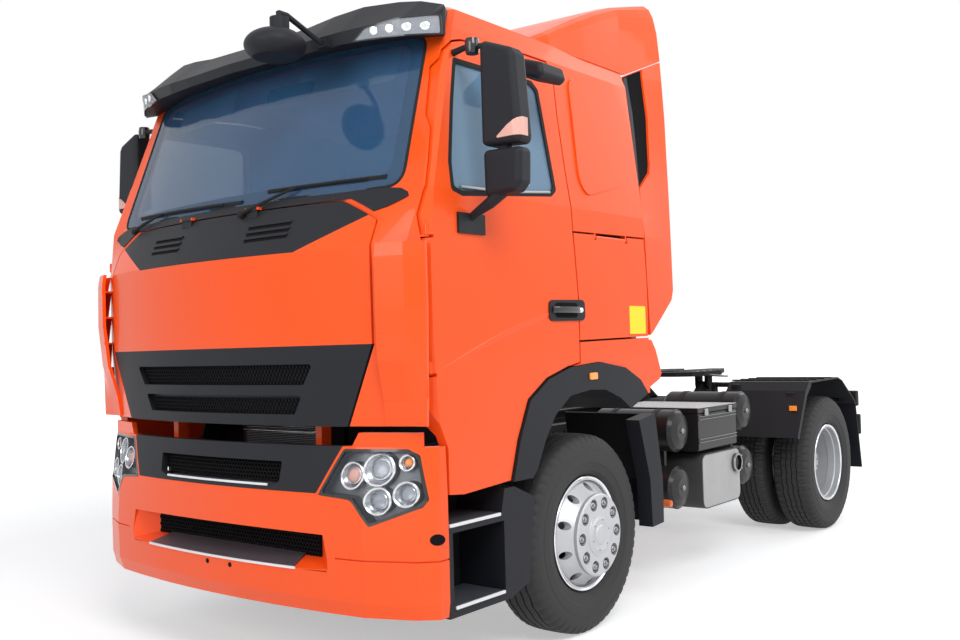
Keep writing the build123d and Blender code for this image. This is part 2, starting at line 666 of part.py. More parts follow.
def front_mirror():
    """Dome mirror before the visor's left half, on a bent arm."""
    dome = Pos(*DOME) * scale(Sphere(140), by=(1, 1, 0.56))
    dome &= block((400, 800), (-1700, -1400), (2862, 3100))
    clamp = rod("z", (618, -1550, 2970), 66, 44)
    stem = rod("z", (618, -1550, 3030), 34, 15)
    arm = side_arm(((618, -1550, 3058), (634, -1520, 3050), (640, -1292, 2955)), (13, 13, 13))
    foot = block((612, 670), (-1322, -1270), (2946, 2984))
    return dome + clamp + stem + arm + foot - sun_visor() - BODY


def dashboard():
    """Dashboard under the screen with the instrument hood before the driver."""
    shelf = side_prism(
        ((-1300, 2235), (-1150, 2240), (-1010, 2150), (-960, 2040), (-1040, 1960), (-1150, 1900), (-1300, 1900)),
        (-DASHBOARD_HALF, DASHBOARD_HALF),
    )
    hood = side_prism(((-1160, 2230), (-1110, 2285), (-960, 2240), (-930, 2120), (-1000, 2060)), (-790, -210), 0)
    column = side_arm(((WHEEL_X, -1010, 1960), (WHEEL_X, -800, 2040)), (30, 30))
    console = block((-160, 160), (-1300, -900), (CAB_FLOOR_TOP, 1960))
    return (shelf + hood + column + console) & cab_body(SIDE_WALL + 2, CAB_SECTIONS, ROOF_WALL)


def steering_wheel():
    """Steering wheel facing the driver's seat."""
    hub = Vector(WHEEL_X, -800, 2040)
    plane = Plane(origin=hub, z_dir=(0, 0.42, 0.9), x_dir=(1, 0, 0))
    ring = plane * Torus(215, 14)
    boss = plane * Pos(0, 0, -10) * Cylinder(60, 60)
    spokes = [plane * Rot(0, 0, a) * Pos(110, 0, 0) * Box(210, 26, 14) for a in (0, 180, 270)]
    return ring + boss + spokes[0] + spokes[1] + spokes[2]


def seats():
    """Two seats on their pedestals."""
    shapes = []
    for x in (-SEAT_X, SEAT_X):
        base = block((x - 150, x + 150), (-560, -220), (CAB_FLOOR_TOP, 1800))
        cushion = fillet(block((x - 250, x + 250), (-680, -160), (1800, 1930)).edges(), 30)
        back = side_prism(((-200, 1870), (-80, 1870), (40, 2480), (-40, 2490)), (x - 240, x + 240))
        rest = block((x - 120, x + 120), (-20, 60), (2470, 2640))
        shapes.append(base + cushion + back + rest)
    return shapes


def bunk():
    """Sleeping berth behind the seats."""
    frame = block((-1150, 1150), (120, 520), (CAB_FLOOR_TOP, 1850))
    mattress = fillet(block((-1140, 1140), (110, 515), (1850, 1990)).edges(), 30)
    return frame + mattress


# ---- bumper -------------------------------------------------------------------------
BUMPER_ROWS = (
    (365, -1490, (930, -1418), (1150, -1330), (1236, -1262)),
    (430, -1516, (945, -1432), (1168, -1338), (1244, -1268)),
    (620, -1521, (950, -1436), (1172, -1338), (1246, -1268)),
    (880, -1512, (930, -1432), (1165, -1334), (1246, -1262)),
    (1104, -1482, (880, -1392), (1140, -1312), (1240, -1248)),
)
BUMPER_WALL = 35.0
BUMPER_TOP_WALL = 24.0
BUMPER_REAR = -1208.0
LAMP_OUTLINE = (
    (701, 889), (815, 1090), (828, 1094), (1124, 1096), (1172, 1070), (1213, 881), (1192, 847),
    (969, 761), (948, 794), (882, 876),
)
CENTRE_OUTLINE = mirrored(((690, 895), (808, 1105)))
CENTRE_SLOT = mirrored(((400, 915), (462, 935), (470, 1028)))
LOWER_MOUTH = mirrored(((768, 551), (728, 724)))
MOUTH_REAR = (-1380.0, 632.0)
MOUTH_WALL = 13.0
LAMP_PODS = (
    # x, z, radius
    (866, 978, 60),
    (990, 1006, 72),
    (1113, 1037, 36),
    (998, 871, 60),
    (1119, 902, 56),
)


def bumper_body(inset=0.0, top=0.0):
    """Solid bumper, its front and sides drawn inwards by an inset, its top lowered."""
    rear = BUMPER_REAR + (100 + inset if inset else 0)
    faces = [cab_section((*row, rear), inset) for row in BUMPER_ROWS[:-1]]
    faces.append(cab_section((*BUMPER_ROWS[-1], rear), inset, BUMPER_ROWS[-1][0] - top))
    return loft(faces, ruled=True)


def bumper_skin():
    """The bumper as a wall with a top, open to the rear and below."""
    skin = bumper_body() - bumper_body(BUMPER_WALL, BUMPER_TOP_WALL)
    return skin - bumper_body(BUMPER_WALL + 5, -10)


BUMPER = bumper_skin()


def front_bumper():
    """Painted bumper: lamp, centre and lower openings cut, a joint line round its corners."""
    bumper = BUMPER - front_prism(LAMP_OUTLINE, (-1700, -1200))
    bumper -= front_prism(CENTRE_OUTLINE, (-1700, -1100))
    bumper -= front_prism([(-x, z) for x, z in LAMP_OUTLINE], (-1700, -1200))
    bumper -= front_prism(LOWER_MOUTH, (-1700, BUMPER_REAR), 24)
    bumper += mouth_walls()
    for groove in both(block((800, FAR), (-1700, -1100), (613, 620))):
        bumper -= groove & (bumper_body() - BUMPER_GROOVE)
    shapes = [s for s in bumper.solids() if s.volume > 1e5]
    fillers = both(filler())
    return shapes + fillers


def mouth_walls():
    """Walls that narrow from the lower opening to the mesh behind it."""
    rear, half = MOUTH_REAR
    sill = side_prism(((-1540, 538), (-1540, 551), (-1500, 551), (rear, 592), (rear, 579)), (-790, 790))
    head = side_prism(((-1540, 724), (-1540, 737), (rear, 715), (rear, 702)), (-790, 790))
    cheek = plan_prism(((768, -1475), (790, -1475), (half + 14, rear), (half, rear)), (538, 737))
    walls = sill + head
    for side in both(cheek):
        walls += side
    return walls & bumper_body()


def filler():
    """Painted piece between the lamp and the cab's corner."""
    plan = ((852, -1392), (1140, -1312), (1184, -1284), (1168, -1262), (1105, -1288), (856, -1362))
    return plan_prism(plan, (1104, 1165)) - front_prism(((852, 1104), (852, 1170), (890, 1170)), (-1500, -1100))


BUMPER_GROOVE = bumper_body(9.0)


def bumper_centre():
    """Dark upper middle of the bumper, with its slot and the step in it."""
    centre = BUMPER & front_prism(CENTRE_OUTLINE, (-1700, -1100))
    centre -= front_prism(CENTRE_SLOT, (-1700, -1200), 10)
    return centre


def step_treads():
    """Grey treads: two across the bumper, two at each side step."""
    upper = block((-394, 394), (-1520, -1400), (915.5, 924)) & bumper_body()
    slope = side_prism(((-1540, 551), (-1500, 551), (-1382, 591), (-1382, 600), (-1502, 560), (-1540, 560)), (-600, 600))
    lower = slope & plan_prism(mirrored(((572, -1540), (520, -1380))), (500, 620)) & bumper_body()
    side = [plan_prism(points, z, 0) for points, z in STEP_TREADS]
    shapes = [upper, lower]
    for tread in side:
        shapes += both(tread)
    return shapes


def headlamps():
    """Lamp housings let into the bumper, each with five round pods."""
    solid = bumper_body(3.0) - bumper_body(70.0)
    housing = solid & front_prism(LAMP_OUTLINE, (-1700, -1212))
    inner = offset(outline([(x, -1700, z) for x, z in LAMP_OUTLINE]), amount=-10, kind=Kind.INTERSECTION)
    housing -= extrude(inner, amount=600, dir=(0, 1, 0)) - bumper_body(LAMP_DEPTH)
    for x, z, radius in LAMP_PODS:
        pod = rod("y", (x, -1600, z), 420, radius) - rod("y", (x, -1700, z), 600, radius - 8)
        housing += pod & (bumper_body(12.0) - bumper_body(60.0))
    keep = sorted(housing.solids(), key=lambda s: s.volume)[-1]
    return both(keep)


# ---- steps, guards, tanks -----------------------------------------------------------
def step_boxes():
    """Dark boxes with two steps under each door."""
    plate = side_prism(
        ((-1200, 352), (-760, 352), (-610, 400), (-556, 800), (-712, 866), (-1200, 866)), (1180, 1236),
    )
    box = block((930, 1180), (-1200, -706), (356, 866))
    box += plate
    box -= side_prism(((-1202, 748), (-820, 748), (-790, 868), (-1202, 868)), (960, FAR))
    box -= side_prism(((-1170, 388), (-800, 388), (-800, 720), (-1170, 720)), (960, FAR))
    arm = block((RAIL_OUTER, 935), (-1130, -1080), (760, 810))
    other = block((RAIL_OUTER, 935), (-860, -810), (760, 810))
    return both(box + arm + other)


def wheel_guards():
    """Guards behind the front wheels, with the rods that hold them."""
    lip = side_prism(
        ((470, 1088), (655, 1114), (725, 722), (721, 479), (590, 470), (578, 740), (520, 930)), (1150, 1240),
    )
    sheet = side_prism(
        ((655, 1114), (725, 722), (721, 479), (709, 479), (713, 722), (644, 1110)), (620, 1150),
    )
    holder = rod("x", (RAIL_OUTER, 705, 800), 900 - RAIL_OUTER, 22)
    return both(lip + sheet + holder)


def tanks():
    """Air tanks across the left side, in two pairs, with the straps that hold them."""
    shapes = []
    for y, z in TANK_PLACES:
        barrel = rod("x", (TANK_X[0] + 40, y, z), TANK_X[1] - TANK_X[0] - 80, TANK_RADIUS)
        for x, reach in ((TANK_X[0] + 40, -40), (TANK_X[1] - 40, 40)):
            barrel += turned(((0, 0), (0, TANK_RADIUS), (reach * 0.6, TANK_RADIUS * 0.86), (reach, TANK_RADIUS * 0.45), (reach, 0)), x, y, z)
        shapes.append(barrel)
    for y in (1187, 2158):
        shapes.append(block((RAIL_OUTER, TANK_X[1] - 120), (y - 14, y + 14), (730, 900)))
    return merged(shapes)


def merged(shapes):
    """Several shapes as one."""
    total = shapes[0]
    for shape in shapes[1:]:
        total = total + shape
    return total


def battery_box():
    """Battery box behind the cab on the left."""
    box = fillet(block((RAIL_OUTER, 1150), (1376, 1940), (815, 1062)).edges().filter_by(Axis.Y), 20)
    lid = block((RAIL_OUTER + 20, 1154), (1368, 1948), (1062, 1092))
    return box + lid


def silencer():
    """Silver-faced exhaust box under the battery box."""
    box = block((480, 1140), (1430, 1995), (438, 790))
    box = fillet(box.edges().filter_by(Axis.X), 60)
    port = rod("x", (1138, 1925, 690), 26, 62) - rod("x", (1146, 1925, 690), 30, 50)
    hangers = merged([block((500, 560), (y - 25, y + 25), (780, 815)) for y in (1500, 1880)])
    return box + port + hangers


def fuel_tank():
    """Fuel tank on the right, on two brackets."""
    tank = fillet(block((-1180, -520), (1000, 2300), (420, 1000)).edges().filter_by(Axis.Y), 90)
    neck = rod("z", (-1060, 1150, 990), 60, 55)
    brackets = merged([block((-540, -RAIL_OUTER), (y - 30, y + 30), (760, 960)) for y in (1200, 2100)])
    return tank + neck + brackets


def rear_guards():
    """Mudguards over the rear wheels with their flaps and the bars that hold them."""
    line = (
        (2790, 780), (2985, 1120), (3060, 1185), (3700, 1195), (3800, 1165), (4080, 990), (4110, 960),
        (4215, 415),
    )
    under = [(y + 2, z - 12) if y < 3000 or 3000 < y < 3800 else (y - 12, z - 6) for y, z in line]
    under[0] = (2802, 776)
    sheet = side_prism(list(line) + under[::-1], (600, 1244))
    lip = side_prism(
        ((2790, 780), (2985, 1120), (3060, 1185), (3100, 1186), (3100, 1150), (3012, 1085), (2822, 765)),
        (1232, 1246),
    )
    bars = merged([
        block((RAIL_OUTER, RAIL_OUTER + 30), (3070, 3130), (860, 1180)),
        rod("x", (RAIL_OUTER, 3100, 1160), 700, 20),
        block((RAIL_OUTER, RAIL_OUTER + 30), (4020, 4080), (800, 1010)),
        rod("x", (RAIL_OUTER, 4060, 985), 700, 20),
    ])
    return both(sheet + lip + bars)


def tail_lamps():
    """Rear lamps on brackets at the flaps' outer edge."""
    lamp = fillet(block((1120, 1250), (4166, 4218), (690, 860)).edges(), 12)
    upper = fillet(block((1130, 1246), (4126, 4190), (930, 1060)).edges(), 12)
    stay = block((1160, 1200), (4118, 4175), (840, 940))
    return both(lamp + upper + stay)


# ---- frame and axles ----------------------------------------------------------------
def chassis_frame():
    """Two channel rails with cross-members, bumper brackets and cab pivots."""
    frame = None
    low = RAIL_TOP - RAIL_HEIGHT
    inner = RAIL_OUTER - RAIL_FLANGE
    rail = block((inner, RAIL_OUTER), (RAIL_FRONT_Y, RAIL_REAR_Y), (low, RAIL_TOP))
    rail -= block(
        (inner - 1, RAIL_OUTER - RAIL_WEB), (RAIL_FRONT_Y + 60, RAIL_REAR_Y + 1),
        (low + RAIL_WEB, RAIL_TOP - RAIL_WEB),
    )
    rail += block((inner, RAIL_OUTER), (-1456, RAIL_FRONT_Y), (760, 900)) - BUMPER
    rail += block((RAIL_OUTER, 532), (-1338, -1225), (870, 1078))
    rail += block((588, 620), (-1338, -1256), (930, 1078)) + block((532, 600), (-1338, -1256), (930, 990))
    rail += rod("x", (520, TILT_PIVOT_Y, TILT_PIVOT_Z), 80, TILT_PIN)
    frame = merged(both(rail))
    for y, depth, z in CROSS_MEMBERS:
        member = block((-RAIL_OUTER + 4, RAIL_OUTER - 4), (y, y + depth), z)
        frame += member
    return frame


def front_axle():
    """Dropped beam with an eye for each kingpin."""
    half = [(0, 400), (500, 400), (640, 480), (812, 480), (812, 570), (620, 570), (480, 492), (0, 492)]
    beam = merged(both(front_prism(half, (-46, 46))))
    for x in (-KINGPIN_X, KINGPIN_X):
        beam += rod("z", (x, 0, AXLE_EYE_Z[0]), AXLE_EYE_Z[1] - AXLE_EYE_Z[0], 46)
    for x in (-KINGPIN_X, KINGPIN_X):
        beam -= rod("z", (x, 0, 400), 300, KINGPIN_RADIUS + SHAFT_CLEARANCE)
    return beam


def knuckle():
    """Left knuckle: fork, kingpin, spindle, brake and steering arm."""
    pin = rod("z", (KINGPIN_X, 0, 405), 245, KINGPIN_RADIUS)
    fork = block((805, 905), (-46, 46), (400, AXLE_EYE_Z[0] - 6)) + block((805, 905), (-46, 46), (AXLE_EYE_Z[1] + 6, 652))
    back = block((900, 925), (-70, 70), (400, 652))
    brake = rod("x", (925, 0, TYRE_RADIUS), 45, 205)
    spindle = rod("x", (925, 0, TYRE_RADIUS), FRONT_TRACK_HALF + 135 - 925, HUB_BORE - SHAFT_CLEARANCE)
    arm = block((880, 905), (46, 190), (410, 440))
    return pin + fork + back + brake + spindle + arm


def leaf_springs():
    """Four leaf springs with the hangers under the rails."""
    shapes = []
    for centre, reach, z, seat in SPRINGS:
        steps = [i / 6 for i in range(-6, 7)]
        under = [(centre + reach * t, z + SPRING_RISE * t * t) for t in steps]
        over = [(y, w + 42 - 14 * abs(t)) for (y, w), t in zip(under, steps)]
        leaf = side_prism(under + over[::-1], (RAIL_OUTER - 62, RAIL_OUTER + 18))
        for end in (-1, 1):
            leaf += block(
                (RAIL_OUTER - 50, RAIL_OUTER + 12), (centre + end * reach - 45, centre + end * reach + 45),
                (z + SPRING_RISE - 6, RAIL_TOP - RAIL_HEIGHT),
            )
        leaf += block((RAIL_OUTER - 62, RAIL_OUTER + 18), (centre - 60, centre + 60), (seat, z + 70))
        shapes += both(leaf)
    return shapes


def rear_axle():
    """Drive axle: housing, tubes, brakes and the spindles the twin wheels turn on."""
    centre = WHEELBASE
    housing = turned(
        ((-150, 0), (-150, 150), (-70, 205), (70, 205), (150, 150), (150, 0)), 0, centre, TYRE_RADIUS
    )
    housing += rod("y", (0, centre - 330, TYRE_RADIUS + 20), 320, 95)
    axle = housing + rod("x", (-640, centre, TYRE_RADIUS), 1280, 76)
    for x in (-1, 1):
        axle += rod("x", (620 if x > 0 else -820, centre, TYRE_RADIUS), 200, 200)
        start = 620 if x > 0 else -REAR_SPINDLE
        axle += rod("x", (start, centre, TYRE_RADIUS), REAR_SPINDLE - 620, HUB_BORE - SHAFT_CLEARANCE)
    return axle


def propshaft():
    """Shaft from gearbox to rear axle, with its two joints."""
    shaft = rod("y", (0, 905, 545), WHEELBASE - 335 - 905, 48)
    return shaft + rod("y", (0, 905, 545), 70, 78) + rod("y", (0, WHEELBASE - 410, 545), 75, 78)


def engine_block():
    """Engine and gearbox as one plain block."""
    engine = block((-318, 318), (-900, 250), (560, 1180))
    gearbox = block((-215, 215), (250, 905), (500, 960))
    sump = block((-300, -100), (-700, 100), (520, 560))
    feet = block((-RAIL_OUTER + RAIL_WEB, RAIL_OUTER - RAIL_WEB), (-120, -20), (830, 890))
    return engine + gearbox + sump + feet


def radiator():
    """Radiator before the engine."""
    core = block((-RADIATOR_HALF, RADIATOR_HALF), (-1040, -960), (600, 1190))
    side = block((RADIATOR_HALF, RADIATOR_HALF + 30), (-1050, -950), (590, 1200))
    foot = block((RADIATOR_HALF + 20, RAIL_OUTER - RAIL_WEB), (-1030, -970), (850, 880))
    return merged([core] + both(side + foot))


def wheel(front):
    """Left tyre, left rim: the front pair single, the rear pair twin on one hub."""
    tyre = [(-103, 290.2), (103, 290.2), (103, 300), (122, 318), (138, 352), (145, 400), (143, 450),
            (134, 486), (119, 510), (104, 520), (60, 524), (0, 525), (-60, 524), (-104, 520),
            (-119, 510), (-134, 486), (-143, 450), (-145, 400), (-138, 352), (-122, 318), (-103, 300)]
    barrel = [(-118, 298.5), (-110, 298.5), (-104, 290), (104, 290), (110, 298.5), (118, 298.5)]
    if front:
        dish = [(118, 280), (98, 278), (160, 228), (179, 214), (198, 214), (204, 206), (204, 62), (208, 54),
                (208, 0), (145, 0), (145, 45), (-65, 45), (-65, 110), (130, 110), (142, 205), (84, 268),
                (76, 278), (-118, 280)]
        place = (FRONT_TRACK_HALF, 0, TYRE_RADIUS)
        rim = turned(barrel + dish, *place)
        for k in range(10):
            a = math.radians(36 * k + 18)
            rim -= rod("x", (place[0] + 60, 245 * math.cos(a), TYRE_RADIUS + 245 * math.sin(a)), 160, 22)
            b = math.radians(36 * k)
            rim -= rod("x", (place[0] + 188, 167.5 * math.cos(b), TYRE_RADIUS + 167.5 * math.sin(b)), 30, 26)
        return [turned(tyre, *place)], [rim]
    twin = (
        (974, 298.5), (982, 298.5), (988, 290), (1196, 290), (1202, 298.5), (1210, 298.5), (1210, 278),
        (1012, 278), (1000, 268), (935, 200), (935, 118), (1060, 118), (REAR_SPINDLE + 24, 96),
        (REAR_SPINDLE + 24, 0), (REAR_SPINDLE + 8, 0), (REAR_SPINDLE + 8, 45), (838, 45), (838, 190),
        (905, 190), (909, 200), (844, 268), (832, 278), (634, 278), (634, 298.5), (642, 298.5),
        (648, 290), (856, 290), (862, 298.5), (870, 298.5), (870, 262), (920, 207), (924, 207), (974, 262),
    )
    places = (REAR_OUTER_HALF, REAR_OUTER_HALF - DUAL_SPACING)
    rim = turned(twin, 0, WHEELBASE, TYRE_RADIUS)
    for k in range(8):
        a = math.radians(45 * k + 20)
        rim -= rod("x", (840, WHEELBASE + 233 * math.cos(a), TYRE_RADIUS + 233 * math.sin(a)), 165, 22)
    tyres = [turned(tyre, x, WHEELBASE, TYRE_RADIUS) for x in places]
    return tyres, [rim]


# ---- coupling -----------------------------------------------------------------------
def coupling_base():
    """Base plate and pedestals under the coupling, with the pins it rocks on."""
    base = block((-RAIL_OUTER + 2, RAIL_OUTER - 2), (FIFTH_WHEEL_Y - 300, FIFTH_WHEEL_Y + 300), (RAIL_TOP, RAIL_TOP + 14))
    for x in (-PEDESTAL_X, PEDESTAL_X):
        base += side_prism(
            ((FIFTH_WHEEL_Y - 270, RAIL_TOP + 14), (FIFTH_WHEEL_Y - 45, PEDESTAL_Z + 20), (FIFTH_WHEEL_Y + 45, PEDESTAL_Z + 20),
             (FIFTH_WHEEL_Y + 270, RAIL_TOP + 14)), (x - 20, x + 20),
        )
        base += rod("x", (x - 60, FIFTH_WHEEL_Y, PEDESTAL_Z), 120, 20)
    return base


def coupling_plate():
    """Coupling plate with its throat and kingpin jaw, hung on the pedestals."""
    y = FIFTH_WHEEL_Y
    points = mirrored((
        (300, y - 430), (420, y - 380), (465, y - 250), (465, y + 60), (345, y + 320), (262, y + 545), (130, y + 560),
        (28, y + 150), (26, y),
    ))
    points = [p for p in points if abs(p[0]) > 1 or p[1] < y]
    plate = plan_prism(points, (FIFTH_WHEEL_TOP - 36, FIFTH_WHEEL_TOP))
    plate -= rod("z", (0, y, FIFTH_WHEEL_TOP - 60), 80, JAW_RADIUS)
    for x in (-PEDESTAL_X, PEDESTAL_X):
        for side in (-1, 1):
            centre = x + side * 43
            lug = block((centre - 15, centre + 15), (y - 42, y + 42), (PEDESTAL_Z, FIFTH_WHEEL_TOP - 36))
            lug += rod("x", (centre - 15, y, PEDESTAL_Z), 30, 42)
            lug -= rod("x", (centre - 20, y, PEDESTAL_Z), 40, 20 + SHAFT_CLEARANCE)
            plate += lug
    return plate


# ---- export -------------------------------------------------------------------------
def export_node(name, shapes):
    """Write one node in the truck's frame, without slivers left by a cut."""
    solids = [Pos(0, Y_SHIFT, 0) * solid for shape in shapes for solid in shape.solids()]
    solids = [solid for solid in solids if solid.volume > 2000]
    export_step(Compound(children=solids), os.path.join("parts", f"{name}.step"))


CARVED = (
    # piece cut away where another stands in it
    ("mirror_left", "door_left"),
    ("mirror_right", "door_right"),
    ("dashboard", "steering_wheel"),
    ("side_deflectors", "roof_deflector"),
    ("step_treads", "chassis_frame"),
    ("step_treads", "bumper_centre"),
    ("step_treads", "front_bumper"),
    ("tail_lamps", "rear_guards"),
    ("headlamps", "front_bumper"),
)


def all_pieces():
    """Every node's shapes by name, left-hand ones mirrored to the right."""
    front_tyre, front_rim = wheel(True)
    rear_tyres, rear_rims = wheel(False)
    handed = {
        "door": [door()],
        "door_glass": [door_glass()],
        "mirror": [mirror_set()],
        "locker_lid": [locker_lid()],
        "knuckle": [knuckle()],
        "tyre_front": front_tyre,
        "rim_front": front_rim,
        "tyres_rear": rear_tyres,
        "rims_rear": rear_rims,
    }
    pieces = {}
    for name, shapes in handed.items():
        pieces[f"{name}_left"] = shapes
        pieces[f"{name}_right"] = [mirror(shape, about=Plane.YZ) for shape in shapes]
    pieces["mirror_left"] = [mirror_set(), kerb_mirror()]
    for name, make in SINGLE.items():
        made = make()
        pieces[name] = list(made) if isinstance(made, list) else [made]
    return pieces


SINGLE = {
    "cab_shell": cab_shell,
    "windscreen": windscreen,
    "front_lid": front_lid,
    "cowl_panel": cowl_panel,
    "grille_panel": grille_panel,
    "corner_panels": corner_panels,
    "arch_trims": arch_trims,
    "sun_visor": sun_visor,
    "roof_deflector": roof_deflector,
    "side_deflectors": side_deflectors,
    "front_mirror": front_mirror,
    "dashboard": dashboard,
    "steering_wheel": steering_wheel,
    "seats": seats,
    "bunk": bunk,
    "front_bumper": front_bumper,
    "bumper_centre": bumper_centre,
    "step_treads": step_treads,
    "headlamps": headlamps,
    "step_boxes": step_boxes,
    "wheel_guards": wheel_guards,
    "air_tanks": tanks,
    "battery_box": battery_box,
    "exhaust_silencer": silencer,
    "fuel_tank": fuel_tank,
    "rear_guards": rear_guards,
    "tail_lamps": tail_lamps,
    "chassis_frame": chassis_frame,
    "front_axle": front_axle,
    "leaf_springs": leaf_springs,
    "rear_axle": rear_axle,
    "propshaft": propshaft,
    "engine_block": engine_block,
    "radiator": radiator,
    "fifth_wheel_base": coupling_base,
    "fifth_wheel_plate": coupling_plate,
}


def main():
    """Build every piece and write its STEP file."""
    os.makedirs("parts", exist_ok=True)
    pieces = all_pieces()
    for name, cutter in CARVED:
        for tool in pieces[cutter]:
            pieces[name] = [shape - tool for shape in pieces[name]]
    for name, shapes in pieces.items():
        export_node(name, shapes)


if __name__ == "__main__":
    main()
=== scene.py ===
"""Looks of a two-axle cab-over tractor unit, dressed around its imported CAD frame.

Sizes are millimetres measured from the ground under the middle of the front axle; the
truck faces -Y, its left side is +X. `metres` moves them into the frame.
"""
import logging
import math
from dataclasses import dataclass
from enum import Enum
from typing import Callable, Iterable, Sequence

import bmesh
import bpy
import numpy as np
from mathutils import Matrix, Vector
from mathutils.geometry import delaunay_2d_cdt


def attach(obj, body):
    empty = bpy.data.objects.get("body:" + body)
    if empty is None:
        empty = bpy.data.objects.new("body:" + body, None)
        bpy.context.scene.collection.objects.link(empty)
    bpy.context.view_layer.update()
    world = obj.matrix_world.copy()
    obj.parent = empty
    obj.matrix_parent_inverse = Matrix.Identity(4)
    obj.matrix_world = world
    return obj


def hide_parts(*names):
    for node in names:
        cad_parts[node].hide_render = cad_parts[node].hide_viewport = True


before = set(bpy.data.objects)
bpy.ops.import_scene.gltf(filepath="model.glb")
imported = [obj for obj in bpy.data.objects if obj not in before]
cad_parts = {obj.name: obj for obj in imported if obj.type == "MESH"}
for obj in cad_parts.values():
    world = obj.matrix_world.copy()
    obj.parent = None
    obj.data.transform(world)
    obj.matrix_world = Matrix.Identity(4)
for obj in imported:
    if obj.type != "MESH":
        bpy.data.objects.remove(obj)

log = logging.getLogger("tractor")
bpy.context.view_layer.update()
AXLE_TO_FRAME = np.array([0.0, -1264.0, 0.0])
MM_PER_METRE = 1000.0
WHEELBASE = 3500.0
AXLE_HEIGHT = 525.0
BEVEL_FROM_DEGREES = 24
FACE_WEIGHT = 60
RIB_TURN = 6.28
CAB = ("cab", "cab")
CHASSIS = ("chassis", "chassis")
DOORS = ("door_left", "door_right")
LID = ("lid", "lid")


# ---- numbers to meshes ---------------------------------------------------------------
def metres(points: Iterable) -> np.ndarray:
    """Truck millimetres as frame metres."""
    return (np.asarray(points, float) + AXLE_TO_FRAME) / MM_PER_METRE


def mirrored(points: np.ndarray) -> np.ndarray:
    """The same points on the truck's other side."""
    return np.asarray(points, float) * np.array([-1.0, 1.0, 1.0])


@dataclass
class Facets:
    """Vertices in millimetres and faces that index them."""

    points: np.ndarray
    faces: list

    def flipped(self) -> "Facets":
        """The facets' mirror image across the truck, facing outwards again."""
        return Facets(mirrored(self.points), [tuple(reversed(f)) for f in self.faces])


def joined(parts: Sequence[Facets]) -> Facets:
    """Several facets as one.

    Args:
        parts: what to join.

    Returns:
        One set of points and faces.
    """
    points = np.vstack([p.points for p in parts])
    starts = np.cumsum([0] + [len(p.points) for p in parts[:-1]])
    faces = [tuple(int(i + s) for i in f) for p, s in zip(parts, starts) for f in p.faces]
    return Facets(points, faces)


def grid(points: np.ndarray, wrap_u: bool = False, wrap_v: bool = False) -> Facets:
    """Quads over an (u, v, 3) array of points.

    Each quad joins (u, v), (u + 1, v), (u + 1, v + 1) and (u, v + 1); a wrapped side
    joins its last row to its first.

    Args:
        points: surface points, one row for each u.
        wrap_u: close the surface along u.
        wrap_v: close the surface along v.

    Returns:
        The surface's facets.
    """
    rows, columns = points.shape[:2]
    index = np.arange(rows * columns).reshape(rows, columns)
    if wrap_u:
        index = np.vstack([index, index[:1]])
    if wrap_v:
        index = np.hstack([index, index[:, :1]])
    quads = np.stack([index[:-1, :-1], index[1:, :-1], index[1:, 1:], index[:-1, 1:]], -1)
    return Facets(points.reshape(-1, 3), [tuple(int(i) for i in q) for q in quads.reshape(-1, 4)])


def copies(cell: Facets, offsets: np.ndarray) -> Facets:
    """The same facets at many places, worked out as whole arrays.

    Args:
        cell: one copy.
        offsets: (n, 3) shifts.

    Returns:
        All the copies as one.
    """
    count = len(cell.points)
    points = (cell.points[None] + offsets[:, None]).reshape(-1, 3)
    faces = [tuple(i + count * k for i in f) for k in range(len(offsets)) for f in cell.faces]
    return Facets(points, faces)


def tube(path: Sequence, radius: float | Sequence[float], sides: int = 12, caps: bool = True) -> Facets:
    """Round bar along a path.

    At each point two directions across the path carry a circle: the point plus radius
    times (cos a, sin a) on them.

    Args:
        path: points along the middle.
        radius: one radius, or one for each point.
        sides: corners of the circle.
        caps: close both ends.

    Returns:
        The bar's facets.
    """
    middle = np.asarray(path, float)
    along = np.gradient(middle, axis=0)
    along /= np.linalg.norm(along, axis=1, keepdims=True)
    helper = np.array([0.0, 0.0, 1.0]) if abs(along[:, 2]).mean() < 0.8 else np.array([1.0, 0.0, 0.0])
    across = np.cross(along, helper)
    across /= np.linalg.norm(across, axis=1, keepdims=True)
    up = np.cross(across, along)
    angle = np.linspace(0, 2 * np.pi, sides, endpoint=False)
    size = np.broadcast_to(np.asarray(radius, float), (len(middle),))[:, None, None]
    ring = np.cos(angle)[None, :, None] * across[:, None] + np.sin(angle)[None, :, None] * up[:, None]
    facets = grid(middle[:, None] + size * ring, wrap_v=True)
    if caps:
        last = (len(middle) - 1) * sides
        facets.faces += [tuple(range(sides)), tuple(last + i for i in reversed(range(sides)))]
    return facets


def turned(profile: Sequence, centre: Sequence[float], sides: int = 64, axis: str = "x") -> Facets:
    """Ring swept by a profile of (along, radius) about an axis through a centre.

    Each profile point becomes a circle: radius times (cos a, sin a) across the axis.

    Args:
        profile: the ring's section.
        centre: a point on the axis.
        sides: steps round the axis.
        axis: "x", "y" or "z".

    Returns:
        The ring's facets.
    """
    section = np.asarray(profile, float)
    angle = np.linspace(0, 2 * np.pi, sides, endpoint=False)
    along = np.broadcast_to(section[:, 0, None], (len(section), sides))
    first = section[:, 1, None] * np.cos(angle)
    second = section[:, 1, None] * np.sin(angle)
    order = {
        "x": (along, first, second), "y": (second, along, first), "z": (first, second, along)
    }[axis]
    return grid(np.stack(order, -1) + np.asarray(centre, float), wrap_v=True)


